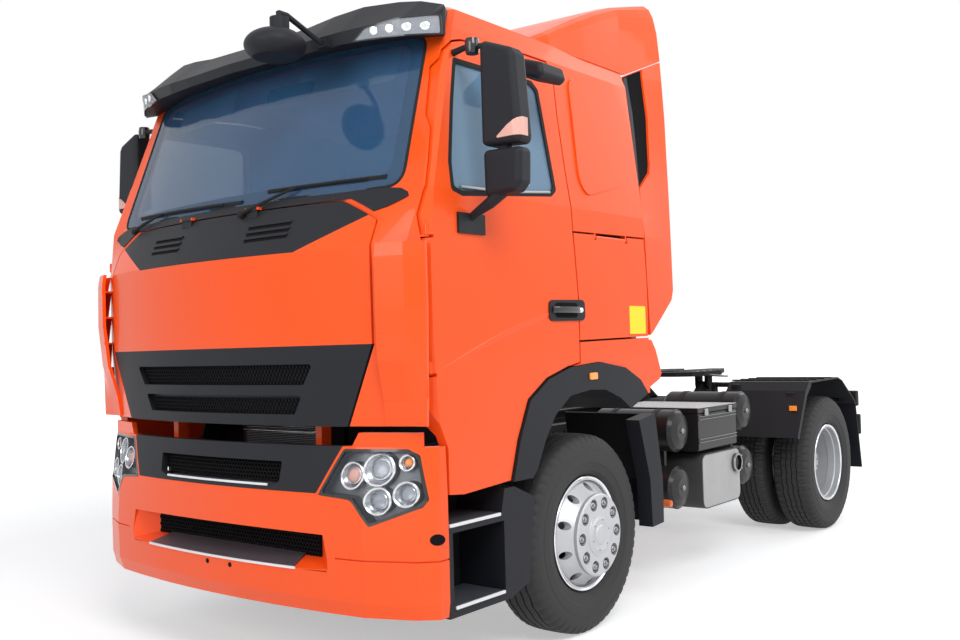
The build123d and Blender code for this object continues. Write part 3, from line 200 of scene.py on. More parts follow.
def slab(outline: Sequence, lift: Callable, thickness: float) -> Facets:
    """Plate with a flat outline laid on a surface.

    Args:
        outline: corner points as (u, v).
        lift: turns (u, v) and a height into truck points.
        thickness: how far it stands out.

    Returns:
        The plate's facets: its face, its back and its edge.
    """
    corners = np.asarray(outline, float)
    count = len(corners)
    low = lift(corners, 0.0)
    high = lift(corners, thickness)
    faces = [tuple(range(count)), tuple(count + i for i in reversed(range(count)))]
    faces += [(i, count + i, count + (i + 1) % count, (i + 1) % count) for i in range(count)]
    return Facets(np.vstack([high, low]), faces)


def rounded(points: Sequence, radius: float, steps: int = 5) -> np.ndarray:
    """An outline whose corners are quarter-turn arcs.

    Each corner is swept by (1 - t)^2 a + 2 t (1 - t) corner + t^2 b between its two
    neighbours' directions.

    Args:
        points: (u, v) corners.
        radius: how far from the corner an arc starts.
        steps: points in each arc.

    Returns:
        (n, 2) outline.
    """
    corners = np.asarray(points, float)
    before = np.roll(corners, 1, axis=0) - corners
    after = np.roll(corners, -1, axis=0) - corners
    reach_a = np.minimum(radius, np.linalg.norm(before, axis=1) * 0.48)[:, None]
    reach_b = np.minimum(radius, np.linalg.norm(after, axis=1) * 0.48)[:, None]
    a = corners + before / np.linalg.norm(before, axis=1, keepdims=True) * reach_a
    b = corners + after / np.linalg.norm(after, axis=1, keepdims=True) * reach_b
    t = np.linspace(0, 1, steps)[None, :, None]
    arcs = (1 - t) ** 2 * a[:, None] + 2 * t * (1 - t) * corners[:, None] + t**2 * b[:, None]
    return arcs.reshape(-1, 2)


def box(x: Sequence[float], y: Sequence[float], z: Sequence[float]) -> Facets:
    """Block between pairs of x, y and z.

    Args:
        x: least and greatest x.
        y: least and greatest y.
        z: least and greatest z.

    Returns:
        The block's facets.
    """
    corner = np.array([(i, j, k) for i in x for j in y for k in z], float)
    faces = [(0, 1, 3, 2), (4, 6, 7, 5), (0, 4, 5, 1), (2, 3, 7, 6), (0, 2, 6, 4), (1, 5, 7, 3)]
    return Facets(corner, faces)


# ---- the cab's skin -------------------------------------------------------------------
# z, front at the middle, edge (x, y), shoulder (x, y), side (x, y)
CAB_SKIN = (
    (870, -1500, 845, -1403, 1105, -1322, 1242, -1240),
    (1190, -1504, 845, -1406, 1105, -1325, 1243, -1242),
    (1560, -1528, 1008, -1403, 1150, -1328, 1246, -1274),
    (1985, -1540, 1010, -1405, 1150, -1330, 1247, -1276),
    (2235, -1420, 1095, -1278, 1205, -1272, 1245, -1242),
    (3010, -1160, 1045, -1006, 1115, -1002, 1150, -975),
    (3120, -1090, 990, -945, 1070, -935, 1108, -900),
    (3175, -1010, 890, -870, 960, -850, 1000, -820),
)
BUMPER_SKIN = (
    (365, -1490, 930, -1418, 1150, -1330, 1236, -1262),
    (430, -1516, 945, -1432, 1168, -1338, 1244, -1268),
    (620, -1521, 950, -1436, 1172, -1338, 1246, -1268),
    (880, -1512, 930, -1432, 1165, -1334, 1246, -1262),
    (1104, -1482, 880, -1392, 1140, -1312, 1240, -1248),
)


def skin_y(table: Sequence, x: np.ndarray, z: np.ndarray) -> np.ndarray:
    """Where a skin's front face lies.

    Between two rows every column is a straight mix by height; across, the face is a
    parabola to its edge and then two straight runs to the side.

    Args:
        table: the skin's rows.
        x: places across.
        z: heights.

    Returns:
        y at each (x, z).
    """
    rows = np.asarray(table, float)
    x, z = np.broadcast_arrays(np.abs(np.asarray(x, float)), np.asarray(z, float))
    mixed = np.stack([np.interp(z, rows[:, 0], rows[:, k]) for k in range(1, 8)], 0)
    front, edge_x, edge_y, bend_x, bend_y, side_x, side_y = mixed
    bow = front + (edge_y - front) * (x / edge_x) ** 2
    first = edge_y + (bend_y - edge_y) * (x - edge_x) / (bend_x - edge_x)
    second = bend_y + (side_y - bend_y) * (x - bend_x) / (side_x - bend_x)
    return np.where(x < edge_x, bow, np.where(x < bend_x, first, second))


def half_width(z: np.ndarray) -> np.ndarray:
    """Half the cab's width at a height."""
    rows = np.asarray(CAB_SKIN, float)
    return np.interp(z, rows[:, 0], rows[:, 6])


def on_front(table: Sequence = CAB_SKIN, depth: float = 0.0) -> Callable:
    """A lift for outlines in (x, z) on a front skin, sunk by a depth.

    Args:
        table: the skin's rows.
        depth: how far behind the skin the surface lies.

    Returns:
        A function from (x, z) and a height to truck points.
    """

    def lift(uv: np.ndarray, height: float) -> np.ndarray:
        """Points of (x, z) at a height off the skin."""
        y = skin_y(table, uv[:, 0], uv[:, 1]) + depth - height
        return np.column_stack([uv[:, 0], y, uv[:, 1]])

    return lift


def on_side(depth: float = 0.0) -> Callable:
    """A lift for outlines in (y, z) on the cab's left side, sunk by a depth.

    Args:
        depth: how far within the side the surface lies.

    Returns:
        A function from (y, z) and a height to truck points.
    """

    def lift(uv: np.ndarray, height: float) -> np.ndarray:
        """Points of (y, z) at a height off the side."""
        return np.column_stack([half_width(uv[:, 1]) - depth + height, uv[:, 0], uv[:, 1]])

    return lift


# ---- shader maths ----------------------------------------------------------------------
class Wire:
    """A socket on which + - * / write their Math nodes."""

    def __init__(self, dresser: "Dresser", socket: bpy.types.NodeSocket):
        """Wraps one output socket."""
        self.dresser, self.socket = dresser, socket

    def _math(self, operation: str, first: object, second: object) -> "Wire":
        """One Math node on two values."""
        return self.dresser.node("ShaderNodeMath", {"operation": operation}, {0: first, 1: second})

    def __add__(self, other: object) -> "Wire":
        """self + other."""
        return self._math("ADD", self, other)

    def __sub__(self, other: object) -> "Wire":
        """self - other."""
        return self._math("SUBTRACT", self, other)

    def __rsub__(self, other: object) -> "Wire":
        """other - self."""
        return self._math("SUBTRACT", other, self)

    def __mul__(self, other: object) -> "Wire":
        """self * other."""
        return self._math("MULTIPLY", self, other)

    def __gt__(self, other: object) -> "Wire":
        """1 where self is above other."""
        return self._math("GREATER_THAN", self, other)

    def wave(self) -> "Wire":
        """Sine of the value."""
        return self._math("SINE", self, 0.0)

    def size(self) -> "Wire":
        """Value without its sign."""
        return self._math("ABSOLUTE", self, 0.0)

    def high(self, other: object) -> "Wire":
        """The larger of two values."""
        return self._math("MAXIMUM", self, other)

    def low(self, other: object) -> "Wire":
        """The smaller of two values."""
        return self._math("MINIMUM", self, other)


class Dresser:
    """Builds one material's nodes."""

    def __init__(self, name: str):
        """Starts an empty material with one Principled shader.

        Args:
            name: the material's name.
        """
        self.material = bpy.data.materials.new(name)
        self.material.use_nodes = True
        self.tree = self.material.node_tree
        self.shader = self.tree.nodes["Principled BSDF"]
        self.place = self.node("ShaderNodeTexCoord", {}, {}, "Object")

    def node(self, kind: str, settings: dict, inputs: dict, output: object = 0) -> Wire:
        """Adds a node.

        Args:
            kind: node type.
            settings: its own settings.
            inputs: value or wire for each input.
            output: which output to hand back.

        Returns:
            The chosen output.
        """
        made = self.tree.nodes.new(kind)
        for key, value in settings.items():
            setattr(made, key, value)
        for key, value in inputs.items():
            self.join(value, made.inputs[key])
        return Wire(self, made.outputs[output])

    def join(self, value: object, socket: bpy.types.NodeSocket) -> None:
        """Links a wire to a socket, or sets the socket's value.

        Args:
            value: a wire, number or colour.
            socket: the input that takes it.
        """
        if isinstance(value, Wire):
            self.tree.links.new(value.socket, socket)
        else:
            socket.default_value = value

    def noise(self, scale: float, detail: float = 3.0, rough: float = 0.55) -> Wire:
        """Cloudy pattern; scale is in cells for each metre.

        Args:
            scale: cells in a metre.
            detail: finer layers.
            rough: how strong each finer layer is.

        Returns:
            The pattern, about 0 to 1.
        """
        return self.node(
            "ShaderNodeTexNoise", {},
            {"Vector": self.place, "Scale": scale, "Detail": detail, "Roughness": rough}, 0
        )

    def blend(self, mask: Wire, first: object, second: object) -> Wire:
        """Mix of two colours by a mask.

        Args:
            mask: 0 for the first colour, 1 for the second.
            first: colour or wire.
            second: colour or wire.

        Returns:
            The mixed colour.
        """
        settings = {"data_type": "RGBA"}
        pair = [(*c, 1.0) if isinstance(c, tuple) and len(c) == 3 else c for c in (first, second)]
        return self.node("ShaderNodeMix", settings, {0: mask, 6: pair[0], 7: pair[1]}, 2)

    def axes(self) -> tuple[Wire, Wire, Wire]:
        """The place's x, y and z in metres.

        Returns:
            Three wires.
        """
        split = self.node("ShaderNodeSeparateXYZ", {}, {0: self.place})
        outputs = split.socket.node.outputs
        return tuple(Wire(self, outputs[k]) for k in range(3))

    def raised(self, height: Wire, strength: float, distance: float) -> Wire:
        """Bump from a height pattern, distance in metres."""
        return self.node(
            "ShaderNodeBump", {}, {"Height": height, "Strength": strength, "Distance": distance}
        )

    def finish(self, **sockets: object) -> bpy.types.Material:
        """Sets the shader's sockets by name.

        Args:
            sockets: value or wire for each socket, with _ for a space.

        Returns:
            The material.
        """
        for key, value in sockets.items():
            name = key.replace("_", " ")
            if isinstance(value, tuple) and len(value) == 3:
                value = (*value, 1.0)
            self.join(value, self.shader.inputs[name])
        return self.material


# ---- finishes ---------------------------------------------------------------------------
class Finish(Enum):
    """The truck's finishes, by the record's material slot."""

    ORANGE = "orange_paint"
    PLASTIC = "black_plastic"
    GLASS = "tinted_glass"
    LAMP = "lamp_glass"
    RED = "red_lamp"
    TREAD = "tread_steel"
    FRAME = "frame_paint"
    RUBBER = "tyre_rubber"
    RIM = "silver_rim"
    TANK = "tank_paint"
    SHEET = "silver_sheet"
    CAST = "cast_black"
    FABRIC = "seat_fabric"
    CABIN = "cabin_plastic"


@dataclass(frozen=True)
class CabRoom:
    """The space inside the cab's walls, in frame metres."""

    sill: float = 1.45
    belt: float = 2.235
    ceiling: float = 3.0
    half_width: float = 1.212
    side_lean: float = 0.1226
    front: float = 2.594
    front_lean: float = 0.3355
    front_bow: float = 0.137
    rear: float = -0.72

    def holds(self, place: "tuple[Wire, Wire, Wire]") -> "Wire":
        """1 at the faces inside, 0 outside.

        Above the belt the sides and the front lean in with the rise over it; the front
        is also bowed by the square of x.

        Args:
            place: x, y and z in frame metres.

        Returns:
            The mask.
        """
        x, y, z = place
        rise = (z - self.belt).high(0.0)
        side = (self.half_width - rise * self.side_lean - x.size()) > 0.0
        front = (y + self.front - rise * self.front_lean - x * x * self.front_bow) > 0.0
        rear = (self.rear - y) > 0.0
        return side * front * rear * (z > self.sill) * (self.ceiling - z > 0.0)


@dataclass(frozen=True)
class Paint:
    """Glossy enamel with a slight orange peel and a breath of dust low down, lined within the cab."""

    name: str
    colour: tuple
    roughness: float = 0.3
    coat: float = 0.22
    dust: float = 0.04
    lined: bool = False
    lining: tuple = (0.10, 0.10, 0.105)
    dust_colour: tuple = (0.55, 0.42, 0.34)
    dust_below: float = 1.15

    def make(self) -> bpy.types.Material:
        """The paint's material.

        Returns:
            The material.
        """
        d = Dresser(self.name)
        height = d.axes()[2]
        low = (self.dust_below - height).high(0.0).low(1.0) * self.dust
        cloud = d.noise(2.4, 4.0)
        dusty = d.blend(low * cloud + cloud * 0.01, self.colour, self.dust_colour)
        if self.lined:
            dusty = d.blend(CabRoom().holds(d.axes()), dusty, self.lining)
        peel = d.raised(d.noise(420.0, 2.0), 0.05, 0.0006)
        rough = cloud * 0.08 + self.roughness
        return d.finish(
            Base_Color=dusty, Roughness=rough, Normal=peel, Coat_Weight=self.coat, Coat_Roughness=0.05,
            Specular_IOR_Level=0.22,
        )


@dataclass(frozen=True)
class Moulding:
    """Textured moulded plastic, greyer where light dust lies on upper faces."""

    name: str
    colour: tuple
    roughness: float = 0.5
    grain: float = 900.0
    depth: float = 0.0005
    dust: float = 0.03
    shine: float = 0.22

    def make(self) -> bpy.types.Material:
        """The plastic's material.

        Returns:
            The material.
        """
        d = Dresser(self.name)
        cloud = d.noise(3.0, 5.0)
        facing = d.node(
            "ShaderNodeSeparateXYZ", {}, {0: d.node("ShaderNodeNewGeometry", {}, {}, "Normal")}, 2
        )
        settled = facing.high(0.0) * cloud * self.dust + cloud * 0.012
        tone = d.blend(settled, self.colour, (0.32, 0.30, 0.28))
        bump = d.raised(d.noise(self.grain, 2.0), 0.35, self.depth)
        return d.finish(
            Base_Color=tone, Roughness=cloud * 0.16 + self.roughness, Normal=bump,
            Specular_IOR_Level=self.shine
        )


@dataclass(frozen=True)
class Metal:
    """Metal with fine brushing and smudges; metallic from 0 (paint) to 1."""

    name: str
    colour: tuple
    roughness: float = 0.3
    metallic: float = 1.0
    brushing: float = 300.0
    grime: float = 0.15

    def make(self) -> bpy.types.Material:
        """The metal's material.

        Returns:
            The material.
        """
        d = Dresser(self.name)
        cloud = d.noise(6.0, 5.0)
        fine = d.noise(self.brushing, 2.0)
        dark = tuple(c * 0.35 for c in self.colour)
        tone = d.blend(cloud * self.grime, self.colour, dark)
        return d.finish(
            Base_Color=tone, Metallic=self.metallic,
            Roughness=cloud * 0.18 + fine * 0.06 + self.roughness,
            Normal=d.raised(fine, 0.12, 0.0003),
        )


@dataclass(frozen=True)
class Tyre:
    """Black rubber with a cloudy mottling of dust all over and a fine bump."""

    name: str = "tyre"
    colour: tuple = (0.013, 0.013, 0.015)

    def make(self) -> bpy.types.Material:
        """The rubber's material.

        Returns:
            The material.
        """
        d = Dresser(self.name)
        cloud = d.noise(9.0, 6.0)
        tone = d.blend(cloud * 0.2, self.colour, (0.1, 0.095, 0.09))
        bump = d.raised(d.noise(260.0, 3.0), 0.35, 0.0009)
        return d.finish(Base_Color=tone, Roughness=cloud * 0.18 + 0.62, Normal=bump)


@dataclass(frozen=True)
class Pane:
    """Tinted glass: part clear, the rest reflecting."""

    name: str
    colour: tuple
    clear: float = 0.5

    def make(self) -> bpy.types.Material:
        """The glass's material.

        Returns:
            The material.
        """
        d = Dresser(self.name)
        smear = d.noise(3.5, 4.0)
        tone = d.blend(smear * 0.35, self.colour, tuple(min(1.0, c * 1.7) for c in self.colour))
        d.material.surface_render_method = "BLENDED"
        return d.finish(
            Base_Color=tone, Roughness=smear * 0.03 + 0.02, Alpha=1.0 - self.clear, IOR=1.5,
            Specular_IOR_Level=0.8,
        )


@dataclass(frozen=True)
class Chequer:
    """Tread plate: short raised bars, each row turned against the next."""

    name: str
    colour: tuple
    pitch: float = 0.03
    metallic: float = 0.6

    def make(self) -> bpy.types.Material:
        """The plate's material.

        Returns:
            The material.
        """
        d = Dresser(self.name)
        x, y, z = d.axes()
        turn = 2 * math.pi / self.pitch
        lean = (x * turn).wave() * ((y + z) * turn).wave()
        bar = ((x + y) * turn * 1.5).wave().size() * (lean > 0.1)
        other = ((x - y) * turn * 1.5).wave().size() * ((0.0 - lean) > 0.1)
        raised = (bar + other) > 0.62
        wear = raised * 0.5 + d.noise(12.0, 5.0) * 0.35
        tone = d.blend(wear, self.colour, tuple(min(1.0, c * 2.4 + 0.06) for c in self.colour))
        return d.finish(
            Base_Color=tone, Metallic=self.metallic, Roughness=0.5 - raised * 0.16,
            Normal=d.raised(raised, 0.6, 0.0016),
        )


@dataclass(frozen=True)
class Cloth:
    """Woven cloth: two crossed waves of thread."""

    name: str
    colour: tuple
    pitch: float = 0.004

    def make(self) -> bpy.types.Material:
        """The cloth's material.

        Returns:
            The material.
        """
        d = Dresser(self.name)
        x, y, z = d.axes()
        turn = 2 * math.pi / self.pitch
        weave = (x * turn).wave() * ((y + z) * turn).wave()
        tone = d.blend(
            weave * 0.25 + d.noise(5.0) * 0.4, self.colour, tuple(c * 1.9 for c in self.colour)
        )
        return d.finish(
            Base_Color=tone, Roughness=0.92, Sheen_Weight=0.3, Normal=d.raised(weave, 0.4, 0.0006)
        )


@dataclass(frozen=True)
class Lens:
    """Moulded lamp plastic with fine ribs."""

    name: str
    colour: tuple
    clear: float = 0.2
    ribs: float = 260.0
    glow: float = 0.0

    def make(self) -> bpy.types.Material:
        """The lens's material.

        Returns:
            The material.
        """
        d = Dresser(self.name)
        x, _, z = d.axes()
        rib = (x * self.ribs * RIB_TURN).wave() * (z * self.ribs * RIB_TURN).wave()
        tone = d.blend(
            rib * 0.3 + 0.2, self.colour, tuple(min(1.0, c * 1.5 + 0.08) for c in self.colour)
        )
        d.material.surface_render_method = "BLENDED"
        return d.finish(
            Base_Color=tone, Roughness=0.12, Alpha=1.0 - self.clear, Coat_Weight=0.6,
            Emission_Color=self.colour, Emission_Strength=self.glow, Normal=d.raised(rib, 0.35, 0.0008),
        )


FINISHES = {
    Finish.ORANGE: Paint("orange", (0.97, 0.092, 0.006), lined=True),
    Finish.PLASTIC: Moulding("plastic", (0.010, 0.011, 0.015), 0.45),
    Finish.GLASS: Pane("window", (0.035, 0.11, 0.23), 0.5),
    Finish.LAMP: Metal("lamp_bowl", (0.13, 0.14, 0.15), 0.24, 0.85, 500.0, 0.4),
    Finish.RED: Lens("red_lens", (0.55, 0.015, 0.01), 0.0, 220.0, 0.05),
    Finish.TREAD: Chequer("tread", (0.055, 0.06, 0.075)),
    Finish.FRAME: Moulding("frame", (0.011, 0.011, 0.013), 0.55, 200.0, 0.0006, 0.12),
    Finish.RUBBER: Tyre(),
    Finish.RIM: Metal("rim", (0.60, 0.61, 0.63), 0.34, 0.55, 200.0, 0.3),
    Finish.TANK: Paint("tank", (0.012, 0.012, 0.014), 0.34, 0.15, 0.06),
    Finish.SHEET: Metal("sheet", (0.075, 0.075, 0.078), 0.5, 0.2, 160.0, 0.3),
    Finish.CAST: Moulding("cast", (0.013, 0.013, 0.014), 0.62, 120.0, 0.0012, 0.15),
    Finish.FABRIC: Cloth("seat_cloth", (0.05, 0.05, 0.056)),
    Finish.CABIN: Moulding("cabin", (0.09, 0.09, 0.094), 0.6),
}
EXTRA = {
    "black_gloss": Paint("black_gloss", (0.012, 0.012, 0.014), 0.2, 0.8, 0.1),
    # Near-black plastic for real black parts, also laid as painted shade in slots, wells, holes and
    # behind meshes.
    "dark": Moulding("dark", (0.004, 0.004, 0.005), 0.8, 900.0, 0.0003, 0.0, 0.12),
    # Door glass: the windscreen's tinted glass in a lighter blue, a painted reflection of the sky.
    "door_pane_painted_reflection": Pane("door_pane_painted_reflection", (0.18, 0.32, 0.46), 0.42),
    "slot_grey": Moulding("slot_grey", (0.05, 0.05, 0.06), 0.5),
    "pale_sheet": Metal("pale_sheet", (0.50, 0.50, 0.49), 0.45, 0.2, 160.0, 0.3),
    "reflector": Metal("reflector", (0.40, 0.42, 0.46), 0.14, 1.0, 700.0, 0.3),
    "chrome": Metal("chrome", (0.82, 0.83, 0.85), 0.08, 1.0, 700.0, 0.1),
    "steel": Metal("steel", (0.42, 0.42, 0.43), 0.35, 0.9, 300.0, 0.4),
    "white_edge": Metal("white_edge", (0.82, 0.83, 0.84), 0.4, 0.3, 200.0, 0.2),
    "amber": Lens("amber_lens", (1.0, 0.26, 0.01), 0.0, 240.0, 0.25),
    "rosy": Lens("rosy_lens", (0.9, 0.42, 0.34), 0.15, 300.0, 0.0),
    "clear": Lens("clear_lens", (0.42, 0.45, 0.5), 0.55, 300.0, 0.0),
    "cover": Pane("lamp_cover", (0.2, 0.22, 0.25), 0.93),
    "yellow": Paint("yellow", (0.93, 0.80, 0.02), 0.35, 0.2, 0.1),
    "mirror": Metal("mirror", (0.86, 0.88, 0.9), 0.02, 1.0, 900.0, 0.0),
    "rubber": Moulding("rubber", (0.012, 0.012, 0.013), 0.7, 500.0),
    "pale_tread": Chequer("pale_tread", (0.34, 0.345, 0.35), 0.034, 0.5),
    "headlining": Moulding("headlining", (0.30, 0.30, 0.29), 0.9),
    "orange_plug": Paint("orange_plug", (0.85, 0.16, 0.03), 0.35, 0.4, 0.2),
}


class Wardrobe:
    """Makes each finish once and hands it out."""

    def __init__(self) -> None:
        """Starts with nothing made."""
        self.made: dict = {}

    def get(self, key: "Finish | str") -> bpy.types.Material:
        """The material of a finish, made when it is first asked for.

        Args:
            key: a finish, or the name of an extra one.

        Returns:
            The material.
        """
        if key not in self.made:
            recipe = FINISHES[key] if isinstance(key, Finish) else EXTRA[key]
            self.made[key] = recipe.make()
        return self.made[key]


WARDROBE = Wardrobe()


# ---- putting pieces on the truck ----------------------------------------------------------
def add_piece(
    name: str, facets: Facets, finish: "Finish | str", body: str, slot: Finish,
    smooth: float = 35.0, bevel: float = 0.0, replaces: Sequence[str] = (), segments: int = 2,
) -> bpy.types.Object:
    """Turns facets into a piece that rides on a body.

    Args:
        name: the piece's name.
        facets: its shape in truck millimetres.
        finish: what it is made of.
        body: the body that it rides on.
        slot: the record's slot that its finish belongs to; not used.
        smooth: angle below which two faces shade as one.
        bevel: width of a bevel on sharp edges, in millimetres.
        replaces: CAD nodes that it stands for.
        segments: steps in the bevel.

    Returns:
        The new object.
    """
    mesh = bpy.data.meshes.new(name)
    mesh.from_pydata(metres(facets.points).tolist(), [], facets.faces)
    mesh.update()
    mesh.validate()
    tidy(mesh)
    made = bpy.data.objects.new(name, mesh)
    bpy.context.scene.collection.objects.link(made)
    mesh.materials.append(WARDROBE.get(finish))
    soften(made, smooth, bevel, segments)
    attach(made, body)
    if replaces:
        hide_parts(*replaces)
    log.info("%s: %d faces on %s", name, len(mesh.polygons), body)
    return made


def tidy(mesh: bpy.types.Mesh) -> None:
    """Merges doubled points and turns every face outwards.

    Args:
        mesh: the mesh to mend.
    """
    work = bmesh.new()
    work.from_mesh(mesh)
    bmesh.ops.remove_doubles(work, verts=work.verts, dist=1e-6)
    bmesh.ops.recalc_face_normals(work, faces=work.faces)
    work.to_mesh(mesh)
    work.free()


def soften(made: bpy.types.Object, smooth: float, bevel: float, segments: int) -> None:
    """Bevels sharp edges and shades shallow ones as one surface.

    Args:
        made: the piece.
        smooth: angle below which two faces shade as one.
        bevel: width in millimetres, 0 for none.
        segments: steps in the bevel.
    """
    mesh = made.data
    if bevel:
        edge = made.modifiers.new("edge", "BEVEL")
        edge.width = bevel / MM_PER_METRE
        edge.segments = segments
        edge.limit_method = "ANGLE"
        edge.angle_limit = math.radians(BEVEL_FROM_DEGREES)
    mesh.shade_smooth()
    mesh.set_sharp_from_angle(angle=math.radians(smooth))
    if bevel:
        weigh = made.modifiers.new("weigh", "WEIGHTED_NORMAL")
        weigh.keep_sharp = False
        weigh.weight = FACE_WEIGHT


def pair(
    name: str, facets: Facets, finish: "Finish | str", bodies: Sequence[str], slot: Finish,
    **options: object
) -> None:
    """Adds a left piece and its mirror image.

    Args:
        name: the pieces' name before _left and _right.
        facets: the left piece's shape.
        finish: what they are made of.
        bodies: the left and the right body.
        slot: the record's slot, handed on to add_piece, which does not use it.
        options: what add_piece takes besides.
    """
    for side, body in zip(("left", "right"), bodies):
        shape = facets if side == "left" else facets.flipped()
        add_piece(f"{name}_{side}", shape, finish, body, slot, **options)


def dress_node(node: str, finish: "Finish | str") -> None:
    """Gives a CAD node its finish; its mesh stays as it is.

    Args:
        node: the node's name.
        finish: what it is made of.
    """
    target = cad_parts[node]
    material = WARDROBE.get(finish)
    if not target.material_slots:
        target.data.materials.append(material)
    for slot in target.material_slots:
        slot.material = material


def honeycomb(
    x: Sequence[float], z: Sequence[float], pitch: float, wall: float, depth: float, lift: Callable,
    half: Callable
) -> Facets:
    """Hexagonal mesh over a field of (x, z).

    Each cell is a ring between a hexagon of half its pitch and one a wall smaller, with
    its inner side carried back by the depth.

    Args:
        x: least and greatest x.
        z: least and greatest z.
        pitch: from one cell's middle to the next.
        wall: width of the web between two cells.
        depth: how deep the web is.
        lift: turns (x, z) and a height into truck points.
        half: the field's half width at a height z.

    Returns:
        The mesh's facets.
    """
    step = pitch * math.sqrt(3) / 2
    columns = np.arange(x[0] + pitch / 2, x[1] - pitch / 3, pitch)
    rows = np.arange(z[0] + step / 2, z[1] - step / 3, step)
    centre_x, centre_z = np.meshgrid(columns, rows)
    centre_x = centre_x + (np.arange(len(rows)) % 2)[:, None] * pitch / 2
    centres = np.column_stack([centre_x.ravel(), centre_z.ravel()])
    centres = centres[np.abs(centres[:, 0]) + pitch * 0.5 < half(centres[:, 1])]
    angle = np.radians(30 + 60 * np.arange(6))
    unit = np.column_stack([np.cos(angle), np.sin(angle)])
    outer = (centres[:, None] + unit[None] * pitch / math.sqrt(3) * 1.01).reshape(-1, 2)
    inner = (centres[:, None] + unit[None] * (pitch / math.sqrt(3) - wall)).reshape(-1, 2)
    rings = np.stack([lift(outer, 0.0), lift(inner, 0.0), lift(inner, -depth)], 0)
    count = len(centres)
    rings = rings.reshape(3, count, 6, 3).transpose(1, 0, 2, 3)
    base = (np.arange(count) * 18)[:, None, None]
    k = np.arange(6)
    n = (k + 1) % 6
    front = np.stack([k, n, 6 + n, 6 + k], -1)[None]
    side = np.stack([6 + k, 6 + n, 12 + n, 12 + k], -1)[None]
    quads = np.concatenate([front + base, side + base], 1).reshape(-1, 4)
    return Facets(rings.reshape(-1, 3), [tuple(int(i) for i in q) for q in quads])


def loop(path: np.ndarray, radius: float, sides: int = 8) -> Facets:
    """Round bar along a closed path.

    Each point carries a circle across the path, worked out from its two neighbours.

    Args:
        path: points round the loop.
        radius: the bar's radius.
        sides: corners of the circle.

    Returns:
        The bar's facets.
    """
    along = np.roll(path, -1, axis=0) - np.roll(path, 1, axis=0)
    along /= np.linalg.norm(along, axis=1, keepdims=True)
    outward = path - path.mean(axis=0)
    across = np.cross(along, outward)
    across /= np.linalg.norm(across, axis=1, keepdims=True)
    up = np.cross(across, along)
    angle = np.linspace(0, 2 * np.pi, sides, endpoint=False)[None, :, None]
    ring = np.cos(angle) * across[:, None] + np.sin(angle) * up[:, None]
    return grid(path[:, None] + radius * ring, wrap_u=True, wrap_v=True)


def dense(outline: np.ndarray, count: int = 8) -> np.ndarray:
    """The outline with each edge cut into equal steps, (1 - t) corner + t next corner.

    Args:
        outline: (u, v) corners.
        count: steps in each edge.

    Returns:
        (n, 2) outline.
    """
    following = np.roll(outline, -1, axis=0)
    t = np.arange(count)[None, :, None] / count
    return ((1 - t) * outline[:, None] + t * following[:, None]).reshape(-1, 2)


def inset(outline: Sequence, amount: float) -> np.ndarray:
    """The outline drawn inwards by an amount.

    Each corner moves along the sum of its two edges' inward normals, divided by one plus
    their dot product.

    Args:
        outline: (u, v) corners.
        amount: how far every edge moves in.

    Returns:
        (n, 2) corners.
    """
    corners = np.asarray(outline, float)
    following = np.roll(corners, -1, axis=0)
    turn = np.sign(np.sum(corners[:, 0] * following[:, 1] - following[:, 0] * corners[:, 1]))
    edge = following - corners
    edge /= np.linalg.norm(edge, axis=1, keepdims=True)
    inward = np.column_stack([-edge[:, 1], edge[:, 0]]) * turn
    before = np.roll(inward, 1, axis=0)
    shared = 1 + np.sum(before * inward, axis=1, keepdims=True)
    return corners + amount * (before + inward) / shared


def band(outer: np.ndarray, inner: np.ndarray, lift: Callable, low: float, high: float) -> Facets:
    """Closed strip between two outlines with as many points, from one height to another."""
    rows = [lift(outer, low), lift(outer, high), lift(inner, high), lift(inner, low)]
    return grid(np.stack(rows, 0), wrap_u=True, wrap_v=True)


def plate(outline: Sequence, lift: Callable, low: float, high: float, step: float = 60.0) -> Facets:
    """Plate that follows a curved surface.

    Points inside the outline on a grid are joined to it by triangles, so the plate bends
    where the surface does.

    Args:
        outline: (u, v) corners.
        lift: turns (u, v) and a height into truck points.
        low: height of its back.
        high: height of its face.
        step: distance between inner points.

    Returns:
        The plate's facets: face, back and edge.
    """
    edge = np.asarray(outline, float)
    count = max(1, int(np.ceil(np.linalg.norm(np.roll(edge, -1, 0) - edge, axis=1).max() / step)))
    edge = dense(edge, count)
    u, v = np.meshgrid(
        np.arange(edge[:, 0].min() + step / 2, edge[:, 0].max(), step),
        np.arange(edge[:, 1].min() + step / 2, edge[:, 1].max(), step),
    )
    inner = np.column_stack([u.ravel(), v.ravel()])
    sides = len(edge)
    found = delaunay_2d_cdt(
        [Vector(p) for p in np.vstack([edge, inner])], [], [tuple(range(sides))], 1, 1e-3
    )
    flat = np.array([tuple(p) for p in found[0]])
    triangles = [tuple(f) for f in found[2]]
    total = len(flat)
    faces = triangles + [tuple(i + total for i in reversed(f)) for f in triangles]
    sides_of = {side for a, b, c in triangles for side in ((a, b), (b, c), (c, a))}
    border = [(a, b) for a, b in sides_of if (b, a) not in sides_of]
    faces += [(a, a + total, b + total, b) for a, b in border]
    return Facets(np.vstack([lift(flat, high), lift(flat, low)]), faces)


def disc(centre: Sequence[float], rings: Sequence, lift: Callable, sides: int = 28) -> Facets:
    """Round dish on a surface: circles about a centre, each at its own height.

    Args:
        centre: (u, v) of its middle.
        rings: (radius, height) of each circle; the last one is filled.
        lift: turns (u, v) and a height into truck points.
        sides: corners of a circle.

    Returns:
        The dish's facets.
    """
    angle = np.linspace(0, 2 * np.pi, sides, endpoint=False)
    circle = np.column_stack([np.cos(angle), np.sin(angle)])
    rows = [lift(np.asarray(centre, float) + circle * radius, height) for radius, height in rings]
    facets = grid(np.stack(rows, 0), wrap_v=True)
    start = (len(rows) - 1) * sides
    facets.faces.append(tuple(start + i for i in range(sides)))
    return facets


